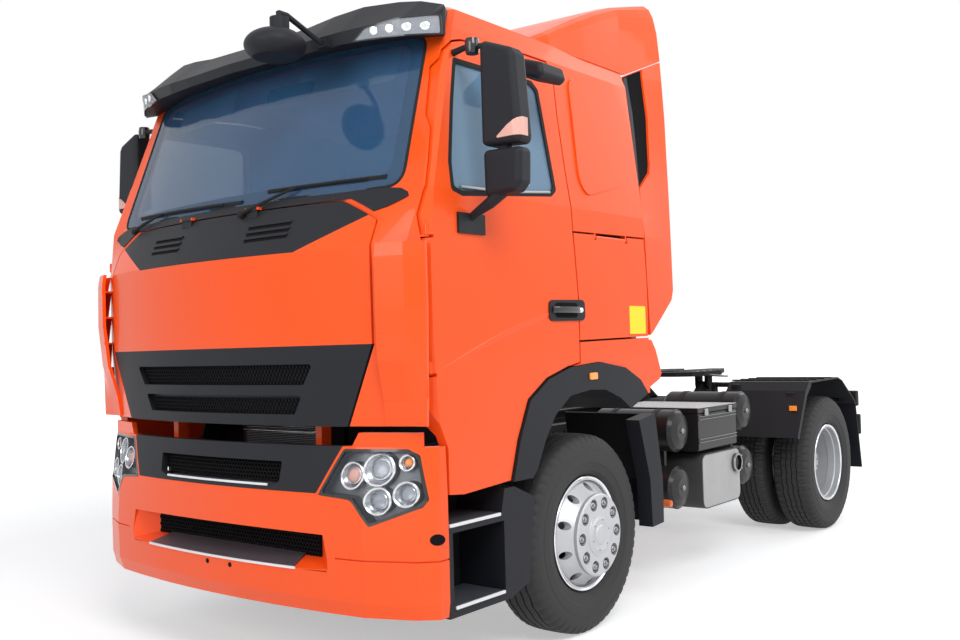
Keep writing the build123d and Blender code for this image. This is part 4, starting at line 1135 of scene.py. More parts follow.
def hexagon(centre: Sequence[float], radius: float, reach: Sequence[float], axis: str = "x") -> Facets:
    """Six-sided nut with a chamfered top and its stud, both turned profiles.

    Args:
        centre: a point on the axis.
        radius: from the axis to a corner.
        reach: where the nut starts and ends along the axis.
        axis: "x", "y" or "z".

    Returns:
        The nut's and the stud's facets.
    """
    low, high = reach
    step = (high - low) * 0.12
    section = ((low, radius), (high - step, radius), (high, radius * 0.84), (high, radius * 0.45))
    nut = turned(section, centre, 6, axis)
    stud = turned(
        (
            (high, radius * 0.45), (high + step * 2.4, radius * 0.42), (high + step * 3, radius * 0.3),
            (high + step * 3, 0.5)
        ),
        centre, 12, axis,
    )
    return joined([nut, stud])


# ---- wheels --------------------------------------------------------------------------------
@dataclass(frozen=True)
class Tread:
    """Tyre section and how its tread is cut."""

    grooves: tuple = (-69.0, -24.0, 24.0, 69.0)
    groove_half: float = 5.0
    groove_depth: float = 13.0
    pitches: int = 56
    steps_in_pitch: int = 4
    notch: float = 9.0
    sipe: float = 0.0
    wave: float = 3.0
    shoulder_from: tuple = (100.0, 483.0)  # x and radius past which notches cut
    rib_within: tuple = (108.0, 517.0)  # x within which, and radius past which, sipes cut
    wave_within: tuple = (100.0, 500.0)  # the same for the waved tread
    crown: tuple = ((0, 60, 104), (525, 524, 520))  # x, radius of the tread's face

    def section(self) -> np.ndarray:
        """Closed (x, radius) profile from bead to bead.

        Returns:
            (n, 2) points, in order round the section.
        """
        side = [
            (103, 290.2), (103, 300), (112, 309), (122, 318), (126, 326), (131, 330), (134, 340),
            (138, 352),
            (141, 372), (144, 376), (145, 400), (145, 420), (144.5, 424), (142, 428), (143, 450),
            (138, 472),
            (134, 486), (128, 498), (119, 510), (104, 520),
        ]
        crown = [(104.0, 520.0)]
        for middle in sorted(self.grooves, reverse=True):
            top = np.interp(abs(middle), *self.crown)
            w, d = self.groove_half, self.groove_depth
            crown += [
                (middle + w, top), (middle + w - 2, top - d), (middle - w + 2, top - d),
                (middle - w, top)
            ]
            beside = middle - w - 17
            crown.append((beside, np.interp(abs(beside), *self.crown)))
        left = [(-x, r) for x, r in reversed(side)]
        return np.array(side + crown[1:-1] + left, float)

    def build(self, centre: Sequence[float]) -> Facets:
        """Tyre about a centre, its shoulders notched and its grooves waved round the wheel.

        The radius at angle a is the section's less the notch depth where a falls in a
        notch; x in the tread shifts by wave sin(pitches a / 2).

        Args:
            centre: the tyre's middle.

        Returns:
            The tyre's facets.
        """
        section = self.section()
        steps = self.pitches * self.steps_in_pitch
        angle = np.linspace(0, 2 * np.pi, steps, endpoint=False)
        x, radius = section[:, 0], section[:, 1]
        shoulder = (np.abs(x) > self.shoulder_from[0]) & (radius > self.shoulder_from[1])
        rib = (np.abs(x) < self.rib_within[0]) & (radius > self.rib_within[1])
        step = np.arange(steps) % self.steps_in_pitch
        in_notch = (step == 0).astype(float)
        in_sipe = (step == 2).astype(float)
        notched = np.outer(shoulder, in_notch) * self.notch
        siped = np.outer(rib, in_sipe) * self.sipe
        r = radius[:, None] - notched - siped
        tread = (np.abs(x) < self.wave_within[0]) & (radius > self.wave_within[1])
        across = x[:, None] + np.outer(tread, self.wave * np.sin(angle * self.pitches / 2))
        points = np.stack([across, r * np.cos(angle), r * np.sin(angle)], -1)
        return grid(points + np.asarray(centre, float), wrap_u=True, wrap_v=True)


@dataclass(frozen=True)
class Wheels:
    """Tyres, nuts and hub covers of all four corners."""

    front_half: float = 1050.0
    rear_half: float = 1092.0
    spacing: float = 340.0
    nut_ring: float = 167.5
    nuts: int = 10
    lip: tuple = ((116, 286), (121, 291), (123, 297), (119, 301), (113, 300))

    def circle(
        self, radius: float, count: int, middle: Sequence[float], start: float = 0.0
    ) -> np.ndarray:
        """Points at equal angles round an axle.

        Args:
            radius: their distance from it.
            count: how many.
            middle: a point on it.
            start: the first one's angle.

        Returns:
            (n, 3) points.
        """
        angle = np.arange(count) * 2 * np.pi / count + start
        flat = np.column_stack([np.zeros(count), np.cos(angle), np.sin(angle)]) * radius
        return flat + np.asarray(middle, float)

    def build(self) -> None:
        """Adds every wheel's pieces."""
        front = (self.front_half, 0.0, AXLE_HEIGHT)
        rear = (self.rear_half, WHEELBASE, AXLE_HEIGHT)
        tyre = Tread().build(front)
        drive = Tread(grooves=(-60.0, -20.0, 20.0, 60.0), sipe=6.0, notch=12.0)
        twins = joined([drive.build(rear), drive.build((rear[0] - self.spacing, *rear[1:]))])
        for side in ("left", "right"):
            for end, shape, node in (("front", tyre, "tyre_front"), ("rear", twins, "tyres_rear")):
                add_piece(
                    f"tyre_tread_{end}_{side}", shape if side == "left" else shape.flipped(),
                    Finish.RUBBER,
                    f"wheel_{end}_{side}", Finish.RUBBER, smooth=32, replaces=(f"{node}_{side}",),
                )
        self.front_hub(front, ("wheel_front_left", "wheel_front_right"))
        self.rear_hub(rear, ("wheel_rear_left", "wheel_rear_right"))

    def rim_lip(self, centre: Sequence[float]) -> Facets:
        """Rolled edge of a rim about an axle's end."""
        section = [(centre[0] + along, radius) for along, radius in self.lip]
        return turned(section, (0, centre[1], centre[2]), 96)

    def front_hub(self, centre: Sequence[float], bodies: Sequence[str]) -> None:
        """Nuts in recesses darkened with near-black painted shade, and the cover's raised rings.

        Args:
            centre: the tyre's middle.
            bodies: the left and the right wheel.
        """
        x, y, z = centre
        places = self.circle(self.nut_ring, self.nuts, (0, y, z))
        cell = hexagon((0, 0, 0), 19, (x + 178, x + 201))
        pair("front_nuts", copies(cell, places), "steel", bodies, Finish.RIM, smooth=25)
        # The well floors and collars round each nut are near-black painted shade of the recesses.
        well = turned(
            ((x + 189, 25.6), (x + 190.5, 25.6), (x + 190.5, 17), (x + 189, 17)), (0, 0, 0), 28
        )
        collar = turned(
            ((x + 200, 25.8), (x + 204.8, 27.6), (x + 204.8, 30.5), (x + 203.4, 31.5), (x + 200, 31.0)),
            (0, 0, 0), 32,
        )
        pair("front_nut_shade_wells", copies(joined([well, collar]), places), "dark", bodies, Finish.CAST)
        face = turned(
            (
                (x + 203, 112), (x + 207, 110), (x + 207.5, 96), (x + 212, 88), (x + 212, 68),
                (x + 209, 60),
                (x + 209, 52), (x + 214, 46), (x + 216, 36), (x + 216.5, 12), (x + 216.5, 0.5),
            ), (0, y, z), 72,
        )
        pair("front_hub_cover", face, Finish.RIM, bodies, Finish.RIM, smooth=28)
        pair("front_rim_lip", self.rim_lip(centre), "chrome", bodies, Finish.RIM)
        studs = self.circle(78, 6, (0, y, z), 0.3)
        pair(
            "front_cover_screws", copies(hexagon((0, 0, 0), 6, (x + 208, x + 214)), studs), "steel",
            bodies, Finish.RIM
        )
        valve = tube(
            ((x + 120, y + 236, z + 60), (x + 140, y + 226, z + 52), (x + 158, y + 214, z + 46)), 5, 10
        )
        pair("front_valve", valve, "steel", bodies, Finish.RIM)

    def rear_hub(self, centre: Sequence[float], bodies: Sequence[str]) -> None:
        """Deep rim's nuts, hub flange studs and rim lip.

        Args:
            centre: the outer tyre's middle.
            bodies: the left and the right wheel.
        """
        x, y, z = centre
        places = self.circle(self.nut_ring, self.nuts, (0, y, z))
        pair(
            "rear_nuts", copies(hexagon((0, 0, 0), 20, (934, 962)), places), "steel", bodies,
            Finish.RIM, smooth=25
        )
        flange = self.circle(76, 8, (0, y, z), 0.2)
        pair(
            "rear_studs", copies(hexagon((0, 0, 0), 9, (1092, 1104)), flange), "steel", bodies,
            Finish.RIM, smooth=25
        )
        pair("rear_rim_lip", self.rim_lip(centre), "chrome", bodies, Finish.RIM)
        step = turned(((1172, 277), (1166, 268), (1112, 266), (1106, 277)), (0, y, z), 96)
        pair("rear_rim_step", step, Finish.RIM, bodies, Finish.RIM)


# ---- lamps ---------------------------------------------------------------------------------
@dataclass(frozen=True)
class Headlamps:
    """Pods, reflectors, lenses, cover and rim of both headlamps."""

    outline: tuple = (
        (701, 889), (815, 1090), (828, 1094), (1124, 1096), (1172, 1070), (1213, 881), (1192, 847),
        (969, 761), (948, 794), (882, 876),
    )
    pods: tuple = (
        # x, z, radius, colour
        (866, 978, 60, "rosy"), (990, 1006, 72, "clear"), (1113, 1037, 36, "amber"),
        (998, 871, 60, "clear"),
        (1119, 902, 56, "clear"),
    )

    def build(self) -> None:
        """Adds both lamps."""
        lift = on_front(BUMPER_SKIN, 0.0)
        bowls, rims, lenses = [], [], {"rosy": [], "clear": [], "amber": []}
        for x, z, radius, colour in self.pods:
            r = radius - 7
            bowls.append(
                disc(
                    (x, z), ((r, -14), (r * 0.9, -26), (r * 0.72, -38), (r * 0.5, -46), (r * 0.3, -49)),
                    lift, 36
                )
            )
            rims.append(
                disc(
                    (x, z), ((radius + 1, -18), (radius, -11), (radius - 5, -9), (radius - 9, -13)),
                    lift, 40
                )
            )
            rims[-1].faces.pop()
            lenses[colour].append(
                disc(
                    (x, z),
                    ((r * 0.62, -40), (r * 0.6, -28), (r * 0.5, -21), (r * 0.3, -17), (r * 0.1, -16)),
                    lift, 32
                )
            )
            rims.append(
                disc(
                    (x, z), ((r * 0.7, -40), (r * 0.7, -27), (r * 0.63, -25), (r * 0.62, -38)), lift, 36
                )
            )
            rims[-1].faces.pop()
        pair("lamp_bowls", joined(bowls), "reflector", CHASSIS, Finish.LAMP, smooth=50)
        pair("lamp_rims", joined(rims), "chrome", CHASSIS, Finish.LAMP, smooth=50)
        for colour, parts in lenses.items():
            pair(f"lamp_lens_{colour}", joined(parts), colour, CHASSIS, Finish.LAMP, smooth=50)
        edge = dense(rounded(self.outline, 22, 4), 3)
        border = band(edge, dense(rounded(inset(self.outline, 12), 18, 4), 3), lift, -12, 1.5)
        pair("lamp_border", border, "black_gloss", CHASSIS, Finish.PLASTIC)
        cover = plate(rounded(inset(self.outline, 8), 18, 3), lift, -6, -3, 40)
        pair("lamp_cover", cover, "cover", CHASSIS, Finish.LAMP, smooth=60)
        backing = plate(rounded(inset(self.outline, 12), 16, 3), lift, -51.5, -50.5, 40)
        pair("lamp_backing", backing, Finish.LAMP, CHASSIS, Finish.LAMP, smooth=60)


@dataclass(frozen=True)
class SmallLamps:
    """Visor, side, rear and tail lamps."""

    visor: tuple = (
        (792, 2961), (850, 3006), (1000, 3027), (1110, 3033), (1164, 3035), (1164, 2957), (1040, 2958)
    )
    visor_rows: tuple = (
        # x, lip (y, z), its foot (y, z)
        (0, -1358, 2985, -1344, 2942), (380, -1340, 2987, -1327, 2942), (560, -1318, 2996, -1304, 2944),
        (720, -1276, 3012, -1262, 2956), (905, -1220, 3024, -1208, 2957),
        (1018, -1180, 3032, -1168, 2953),
        (1118, -1112, 3036, -1102, 2950), (1172, -1066, 3038, -1060, 2950),
    )
    arch_face: float = 1256.0

    def build(self) -> None:
        """Adds the small lamps."""
        self.visor_lamps()
        self.side_markers()
        self.tail_faces()

    def visor_lamps(self) -> None:
        """Clear lamps let into the visor's corners."""
        lift = self.visor_front
        lens = plate(rounded(self.visor, 8, 3), lift, 2, 9, 30)
        pair("visor_lamp", lens, "clear", CAB, Finish.LAMP, smooth=50)
        edge = dense(rounded(self.visor, 8, 3), 3)
        frame_ = band(dense(rounded(inset(self.visor, -6), 10, 3), 3), edge, lift, 1, 10)
        pair("visor_lamp_frame", frame_, "black_gloss", CAB, Finish.PLASTIC)
        bulbs = [
            disc((x, 2992), ((19, 9), (17, 11), (8, 12)), lift, 20) for x in (890, 965, 1040, 1110)
        ]
        pair("visor_bulbs", joined(bulbs), "chrome", CAB, Finish.LAMP)

    def visor_front(self, uv: np.ndarray, height: float) -> np.ndarray:
        """The visor's upright lip between its edge and its foot, mixed along x.

        Args:
            uv: (x, z) of each point.
            height: how far before the lip.

        Returns:
            Truck points.
        """
        table = np.asarray(self.visor_rows, float)
        x = np.abs(uv[:, 0])
        ly, lz, fy, fz = (np.interp(x, table[:, 0], table[:, k]) for k in (1, 2, 3, 4))
        y = fy + (ly - fy) * (uv[:, 1] - fz) / (lz - fz)
        return np.column_stack([uv[:, 0], y - height, uv[:, 1]])

    def side_markers(self) -> None:
        """Amber markers on the arch and on the rear guard."""
        arch = slab(rounded(((-60, 1340), (12, 1340), (12, 1376), (-60, 1376)), 8), self.on_arch, 9)
        pair("arch_marker", arch, "amber", CAB, Finish.RED, bevel=2)
        guard = box((1150, 1206), (2884, 2902), (974, 1012))
        pair("guard_marker", guard, "amber", CHASSIS, Finish.RED, bevel=4)

    def on_arch(self, uv: np.ndarray, height: float) -> np.ndarray:
        """(y, z) on the wheel arch's flat face."""
        return np.column_stack([np.full(len(uv), self.arch_face + height), uv[:, 0], uv[:, 1]])

    def tail_faces(self) -> None:
        """Red, amber and clear sections on the tail lamps."""
        sections = (
            # x, z, colour
            ((1128, 1164), (700, 850), "clear"), ((1168, 1204), (700, 850), "amber"),
            ((1208, 1244), (700, 850), "red"),
        )
        for x, z, colour in sections:
            pair(
                f"tail_section_{colour}", box(x, (4214, 4223), z),
                Finish.RED if colour == "red" else colour,
                CHASSIS, Finish.RED, bevel=4,
            )
        # The reflectors share the red lens's faint glow, which on them is painted light.
        reflector = joined(
            [box((1140, 1236), (4186, 4194), (942, 990)), box((1140, 1236), (4186, 4194), (998, 1048))]
        )
        pair("tail_reflectors", reflector, Finish.RED, CHASSIS, Finish.RED, bevel=4)


# ---- cab fittings ---------------------------------------------------------------------------
@dataclass(frozen=True)
class Glasshouse:
    """Rubber round the windows, the screen's dark border, wipers and inside mirror."""

    screen: tuple = ((1088, 2248), (1036, 2996), (-1036, 2996), (-1088, 2248))
    screen_clear: tuple = ((1010, 2310), (968, 2952), (-968, 2952), (-1010, 2310))
    window: tuple = (
        (-1128, 2228), (-1125, 2360), (-1060, 2645), (-1000, 2862), (-380, 2868), (-330, 2830),
        (-285, 2310), (-335, 2275), (-1050, 2208),
    )
    wipers: tuple = (
        # pivot, elbow, tip as (x, z)
        ((-863, 2220), (-554, 2284), (150, 2266)),
        ((184, 2199), (522, 2300), (1000, 2300)),
    )

    def build(self) -> None:
        """Adds the pieces round the glass."""
        lift = on_front(CAB_SKIN, 9.0)
        outer = dense(rounded(inset(self.screen, -4), 92, 8), 6)
        inner = dense(rounded(self.screen_clear, 70, 8), 6)
        add_piece("screen_border", band(outer, inner, lift, 0.6, 3), "rubber", "cab", Finish.PLASTIC)
        seal = loop(lift(dense(rounded(inset(self.screen, 2), 88, 8), 4), 5.0), 9)
        add_piece("screen_seal", seal, "rubber", "cab", Finish.PLASTIC, smooth=60)
        side = on_side(2.0)
        rim = dense(rounded(self.window, 22, 4), 4)
        bead = band(rim, dense(rounded(inset(self.window, 24), 18, 4), 4), side, -4, 1.5)
        pair("window_seal", bead, "rubber", DOORS, Finish.PLASTIC)
        bar = joined(
            [tube(side(np.array([(-1060, 2250), (-700, 2262), (-350, 2296)], float), 2.0), 7, 8)]
        )
        pair("window_wiper", bar, "steel", DOORS, Finish.PLASTIC)
        for name, (pivot, elbow, tip) in zip(("driver", "kerb"), self.wipers):
            self.wiper(name, pivot, elbow, tip)
        back = rounded(((60, 2790), (360, 2790), (372, 2880), (48, 2880)), 24)
        glass = plate(back, on_front(CAB_SKIN, 70.0), 0, 12)
        add_piece("inside_mirror", glass, "dark", "cab", Finish.PLASTIC, bevel=3)

    def wiper(self, name: str, pivot: Sequence, elbow: Sequence, tip: Sequence) -> None:
        """One wiper: its spindle, arm, bridge and blade.

        Args:
            name: whose wiper it is.
            pivot: (x, z) of its spindle.
            elbow: (x, z) where the arm meets the blade.
            tip: (x, z) of the blade's end.
        """
        lift = on_front(CAB_SKIN, 9.0)
        start = np.array([pivot, elbow], float)
        t = np.linspace(0, 1, 10)[:, None]
        arm_line = start[0] * (1 - t) + start[1] * t
        heights = np.interp(t[:, 0], (0, 0.12, 0.85, 1), (26, 34, 34, 26))
        arm = tube(
            np.vstack([lift(p[None], h) for p, h in zip(arm_line, heights)]), np.linspace(11, 6, 10), 8
        )
        begin = np.asarray(elbow, float) * 2 - np.asarray(tip, float)
        begin = np.asarray(elbow, float) + (begin - elbow) * 0.42
        s = np.linspace(0, 1, 16)[:, None]
        blade_line = begin * (1 - s) + np.asarray(tip, float) * s
        points = lift(blade_line, 10.0)
        blade = grid(
            np.stack(
                [
                    points + d for d in (
                        (0, 6, -11), (0, 9, 0), (0, 6, 11), (0, -5, 9), (0, -9, 0), (0, -5, -9)
                    )
                ],
                1
            ),
            wrap_v=True,
        )
        bridge = tube(lift(blade_line[2:-2], 22.0), 5, 6)
        knob = turned(
            ((6, 18), (-20, 18), (-26, 13), (-28, 1)), lift(np.array([pivot], float), 12.0)[0], 20, "y"
        )
        add_piece(
            f"wiper_{name}", joined([arm, blade, bridge, knob]), "rubber", "cab", Finish.PLASTIC,
            smooth=50,
        )


@dataclass(frozen=True)
class FrontPanels:
    """Cowl louvres and tips, mesh in the grille and bumper, and the front steps' nosings."""

    lid_top_y: float = -1346.0
    guide_rear: float = -1322.0
    guide_bays: tuple = ((1320, 1600), (1612, 1745), (1757, 1890), (1902, 1986))
    mouth_back: float = -1386.0
    cell: tuple = (21.0, 3.5, 9.0)  # pitch, web and depth of the mesh
    fins: int = 62
    fin_pitch: float = 9.0

    def build(self) -> None:
        """Adds the front's pieces."""
        self.cowl()
        self.guide_backs()
        self.meshes()
        self.nosings()
        self.condenser()

    def cowl(self) -> None:
        """Three hooded slots at each side of the cowl, their openings near-black painted shade, and its
        tips beyond the lid.
        """
        lift = on_front()
        hoods, slots = [], []
        for k in range(3):
            z = 2052 + 31 * k
            line = ((262, z), (536, z + 4), (532, z + 17), (266, z + 13))
            # Each slot is a near-black plate on the skin under its hood: painted shade of the opening.
            slots.append(plate(rounded(line, 6), lift, 0.4, 1.6, 50))
            hood = ((256, z + 14), (542, z + 18), (536, z + 27), (262, z + 23))
            hoods.append(plate(rounded(hood, 4), lift, 0, 8, 50))
        pair("cowl_slot_shade", joined(slots), "dark", LID, Finish.PLASTIC)
        pair("cowl_hoods", joined(hoods), Finish.PLASTIC, LID, Finish.PLASTIC, bevel=2)
        foot = plate(((-1010, 2212), (1010, 2212), (1002, 2248), (-1002, 2248)), lift, 0, 3, 40)
        add_piece("screen_foot", foot, Finish.PLASTIC, "cab", Finish.PLASTIC)
        across = np.linspace(700, 1060, 181)
        seam = [
            (float(np.interp(self.lid_top_y, skin_y(CAB_SKIN, across, np.full(181, z)), across)), z)
            for z in np.linspace(2214, 2142, 7)
        ]
        tip = [
            (1044, 2158), (1140, 2198), (1130, 2218), (1086, 2240), (1016, 2249), (seam[0][0], 2249),
            *seam
        ]
        pair("cowl_tips", plate(tip, lift, 0, 6, 40), Finish.PLASTIC, CAB, Finish.PLASTIC, bevel=2)

    def guide_backs(self) -> None:
        """Walls across the rear of the air guides, each bay left open in a corner by the cab."""
        walls = []
        for low, high in self.guide_bays:
            walls.append(
                slab(((1247, low), (1247, high), (1172, high), (1206, low)), self.on_guide_rear, 6)
            )
        pair("guide_back", joined(walls), Finish.ORANGE, CAB, Finish.ORANGE)

    def on_guide_rear(self, uv: np.ndarray, height: float) -> np.ndarray:
        """(x, z) on the plane behind the air guides."""
        return np.column_stack([uv[:, 0], np.full(len(uv), self.guide_rear + height), uv[:, 1]])

    def meshes(self) -> None:
        """Honeycomb in the grille's two slots and in the bumper's two mouths, with near-black sheets of
        painted shade behind the bumper's meshes.
        """
        slots = (
            # name, z, half widths at those heights, skin, depth, body
            ("grille_mesh_upper", (1379, 1473), (624, 685), CAB_SKIN, 24, "lid"),
            ("grille_mesh_lower", (1244, 1331), (561, 610), CAB_SKIN, 24, "lid"),
            ("centre_mesh", (935, 1028), (462, 470), BUMPER_SKIN, 34, "chassis"),
        )
        for name, z, half, skin, depth, body in slots:
            reach = max(half)
            cells = honeycomb(
                (-reach, reach), z, *self.cell, on_front(skin, depth), lambda h: np.interp(h, z, half)
            )
            add_piece(name, cells, "dark", body, Finish.PLASTIC, smooth=20)
        cells = honeycomb(
            (-650, 650), (590, 706), *self.cell, self.on_mouth, lambda h: np.full(np.shape(h), 634.0)
        )
        add_piece("mouth_mesh", cells, "dark", "chassis", Finish.PLASTIC, smooth=20)
        # Near-black sheets behind the bumper's meshes: painted shade of the openings.
        backing = slab(
            ((-640, 584), (640, 584), (640, 712), (-640, 712)), lambda uv, h: self.on_mouth(uv, h - 24),
            1.5
        )
        add_piece("mouth_shade_sheet", backing, "dark", "chassis", Finish.PLASTIC)
        backing = slab(
            ((-462, 935), (462, 935), (468, 1026), (-468, 1026)), on_front(BUMPER_SKIN, 60), 1.5
        )
        add_piece("centre_shade_sheet", backing, "dark", "chassis", Finish.PLASTIC)

    def on_mouth(self, uv: np.ndarray, height: float) -> np.ndarray:
        """(x, z) on the plane at the back of the lower opening."""
        return np.column_stack([uv[:, 0], np.full(len(uv), self.mouth_back - height), uv[:, 1]])

    def nosings(self) -> None:
        """Pale edges along the treads."""
        front = on_front(BUMPER_SKIN, 0.0)
        upper = plate(((-392, 915), (392, 915), (392, 925), (-392, 925)), front, 0.5, 5, 60)
        lower = plate(((-568, 550), (568, 550), (568, 561), (-568, 561)), front, 0.5, 6, 60)
        add_piece("front_nosings", joined([upper, lower]), "white_edge", "chassis", Finish.TREAD)
        steps = joined([
            box((1230, 1243), (-1194, -828), (746, 761)), box((1230, 1243), (-1162, -808), (386, 401)),
        ])
        pair("step_nosings", steps, "white_edge", CHASSIS, Finish.TREAD, bevel=3)
        plug = disc(
            (1239, 709), ((24, 0.6), (24, 3), (19, 3.5), (17, 1.4), (2, 1.2)), on_front(BUMPER_SKIN), 28
        )
        # The two holes are near-black dishes on the skin: painted shade.
        hole = ((12, 0.5), (11.5, 2), (9, 2), (8, 1), (1, 0.9))
        small = joined([disc((x, 525), hole, on_front(BUMPER_SKIN), 20) for x in (-41, 131)])
        pair("bumper_plug", plug, "dark", CHASSIS, Finish.PLASTIC)
        add_piece("bumper_hole_shade", small, "dark", "chassis", Finish.PLASTIC)

    def condenser(self) -> None:
        """Finned core, its pipes and header before the radiator."""
        slats = copies(
            box((-300, 300), (-1062, -1046), (0, 3)),
            np.array([(0, 0, 620 + self.fin_pitch * k) for k in range(self.fins)])
        )
        add_piece("radiator_fins", slats, "steel", "chassis", Finish.CAST)
        pipes = [
            tube(((-300, -1075, z), (250, -1075, z), (300, -1070, z + 20), (300, -1070, z + 60)), 7, 10)
            for z in (1120, 1150)
        ]
        header = tube(((-420, -1090, 1172), (420, -1090, 1172)), 24, 16)
        add_piece("radiator_pipes", joined(pipes), "chrome", "chassis", Finish.CAST, smooth=60)
        add_piece("radiator_header", header, "dark", "chassis", Finish.CAST, smooth=60)


@dataclass(frozen=True)
class SidePanels:
    """Handles, pressed panels, creases, stickers and mirrors' faces."""

    emboss: tuple = (
        (-42, 2921), (7, 2958), (401, 2966), (461, 2919), (426, 2450), (358, 2400), (-7, 2312),
        (-65, 2395),
    )
    slot: tuple = (
        (608, 3080), (770, 3147), (762, 2844), (736, 2570), (722, 2522), (594, 2418), (602, 3010)
    )
    fairing: tuple = (
        # z, x at the front edge, x at the rear edge
        (1500, 1245, 1240), (2135, 1246, 1231), (2430, 1221, 1226), (2625, 1197, 1221),
        (2867, 1168, 1216),
        (3103, 1121, 1204), (3260, 1120, 1194),
    )
    fairing_front: float = 590.0
    fairing_run: float = 350.0
    slot_depth: float = 12.0
    grip_steps: int = 14

    def build(self) -> None:
        """Adds the side pieces."""
        side = on_side()
        panel = plate(rounded(self.emboss, 46, 6), side, 0, 9, 90)
        pair("sleeper_panel", panel, Finish.ORANGE, CAB, Finish.ORANGE, bevel=7, segments=3)
        # The slot's floor is a near-black plate: painted shade of the recess.
        floor = plate(rounded(self.slot, 10, 3), self.on_fairing, 0.3, 1.5, 60)
        pair("deflector_slot_shade", floor, "dark", CAB, Finish.PLASTIC)
        rail = ((610, 3074), (640, 3087), (625, 2700), (604, 2440), (595, 2424), (598, 2700))
        pair(
            "slot_rail", plate(rail, self.on_fairing, 1.5, 7, 60), "slot_grey", CAB, Finish.PLASTIC,
            bevel=1.5
        )
        self.handle()
        sticker = plate(
            rounded(((390, 1576), (566, 1576), (566, 1732), (390, 1732)), 6), side, 0.2, 1.6, 80
        )
        pair("side_reflector", sticker, "yellow", ("locker_left", "locker_right"), Finish.ORANGE)
        path = np.array([(-1262, 1424), (-1028, 1505), (-724, 1602), (-432, 1674), (-165, 1732)], float)
        t = np.linspace(0, 1, 32)
        knots = np.linspace(0, 1, len(path))
        line = np.column_stack([np.interp(t, knots, path[:, 0]), np.interp(t, knots, path[:, 1])])
        swell = np.sin(np.pi * np.clip(t, 0.02, 0.98))[:, None]
        rows = [(0, -16.0), (4, -3.0), (4.5, 3.0), (0, 14.0)]
        ridge = np.stack(
            [
                np.vstack(
                    [side((p + (0, dz * w[0]))[None], h * w[0]) for p, w in zip(line, swell)]
                ) for h,
                dz in rows
            ],
            0
        )
        pair("door_crease", grid(ridge), Finish.ORANGE, DOORS, Finish.ORANGE, smooth=60)
        self.mirror_faces()

    def on_fairing(self, uv: np.ndarray, height: float) -> np.ndarray:
        """(y, z) on the slot's floor, whose x is a straight mix from its front to its rear edge.

        Args:
            uv: (y, z) of each point.
            height: how far out of the floor.

        Returns:
            Truck points.
        """
        table = np.asarray(self.fairing, float)
        front, rear = (np.interp(uv[:, 1], table[:, 0], table[:, k]) for k in (1, 2))
        x = front + (rear - front) * (
            uv[:, 0] - self.fairing_front
        ) / self.fairing_run - self.slot_depth
        return np.column_stack([x + height, uv[:, 0], uv[:, 1]])

    def handle(self) -> None:
        """Dark handle bezel with a grip over its recess, whose floor is a near-black plate of painted
        shade.
        """
        side = on_side()
        bezel_line = (
            (-404, 1662), (-380, 1647), (-98, 1650), (-74, 1668), (-78, 1744), (-98, 1757),
            (-380, 1752), (-400, 1738)
        )
        bezel = plate(rounded(bezel_line, 12, 4), side, 0, 7, 90)
        pair("handle_bezel", bezel, Finish.PLASTIC, DOORS, Finish.PLASTIC, bevel=3)
        # Near-black plate on the recess floor under the grip: painted shade.
        well = plate(
            rounded(((-350, 1664), (-150, 1664), (-150, 1740), (-350, 1740)), 18, 4), side, 7, 8, 90
        )
        pair("handle_well_shade", well, "dark", DOORS, Finish.PLASTIC)
        t = np.linspace(0, 1, self.grip_steps)
        grip = np.column_stack([
            1247 + 8 + 17 * np.sin(np.pi * t) ** 0.5, np.interp(t, (0, 1), (-378, -132)),
            np.full(self.grip_steps, 1704.0),
        ])
        bar = grid(
            np.stack(
                [grip + d for d in ((5, 0, -16), (7, 0, 0), (5, 0, 16), (-6, 0, 14), (-6, 0, -14))], 1
            ),
            wrap_v=True
        )
        bar.faces += [tuple(range(5)), tuple((self.grip_steps - 1) * 5 + i for i in reversed(range(5)))]
        pair("handle_grip", bar, "black_gloss", DOORS, Finish.PLASTIC, smooth=50)
        lock = turned(((1250, 1), (1256, 1), (1258, 12), (1254, 15), (1248, 15)), (0, -112, 1704), 24)
        pair("handle_lock", lock, "chrome", DOORS, Finish.PLASTIC)

    def mirror_faces(self) -> None:
        """Reflecting faces on the mirror heads, and a side reflector round the outer corner."""
        faces = joined([
            box((1358, 1514), (-922, -915), (2450, 2810)),
            box((1360, 1526), (-929, -922), (2234, 2382)),
        ])
        pair("mirror_glass", faces, "mirror", DOORS, Finish.GLASS, bevel=2)
        path = np.array(
            [
                (1436, -1030), (1490, -1030), (1524, -1030), (1541, -1024), (1550, -1013),
                (1553, -1001), (1552, -965)
            ],
            float
        )
        out = np.array(
            [(0, -1), (0, -1), (0.1, -1), (0.5, -0.85), (0.85, -0.5), (1, -0.1), (1, 0)], float
        )
        top = np.array([2452, 2492, 2510, 2518, 2522, 2524, 2524], float)
        low = np.full(7, 2444.0)
        rows = [
            np.column_stack([path + out * reach, height])
            for reach, height in ((-2, low), (4, low), (4, top), (-2, top))
        ]
        lamp = grid(np.stack(rows, 1), wrap_v=True)
        lamp.faces += [(0, 1, 2, 3), tuple(6 * 4 + i for i in (3, 2, 1, 0))]
        pair("mirror_lamp", lamp, "rosy", DOORS, Finish.RED)
        collar = turned(
            ((-30, 22), (-34, 30), (-12, 34), (12, 34), (34, 30), (30, 22)), (1288, -1003, 2885), 20,
            "z"
        )
        pair("mirror_collar", collar, "black_gloss", DOORS, Finish.PLASTIC, smooth=50)


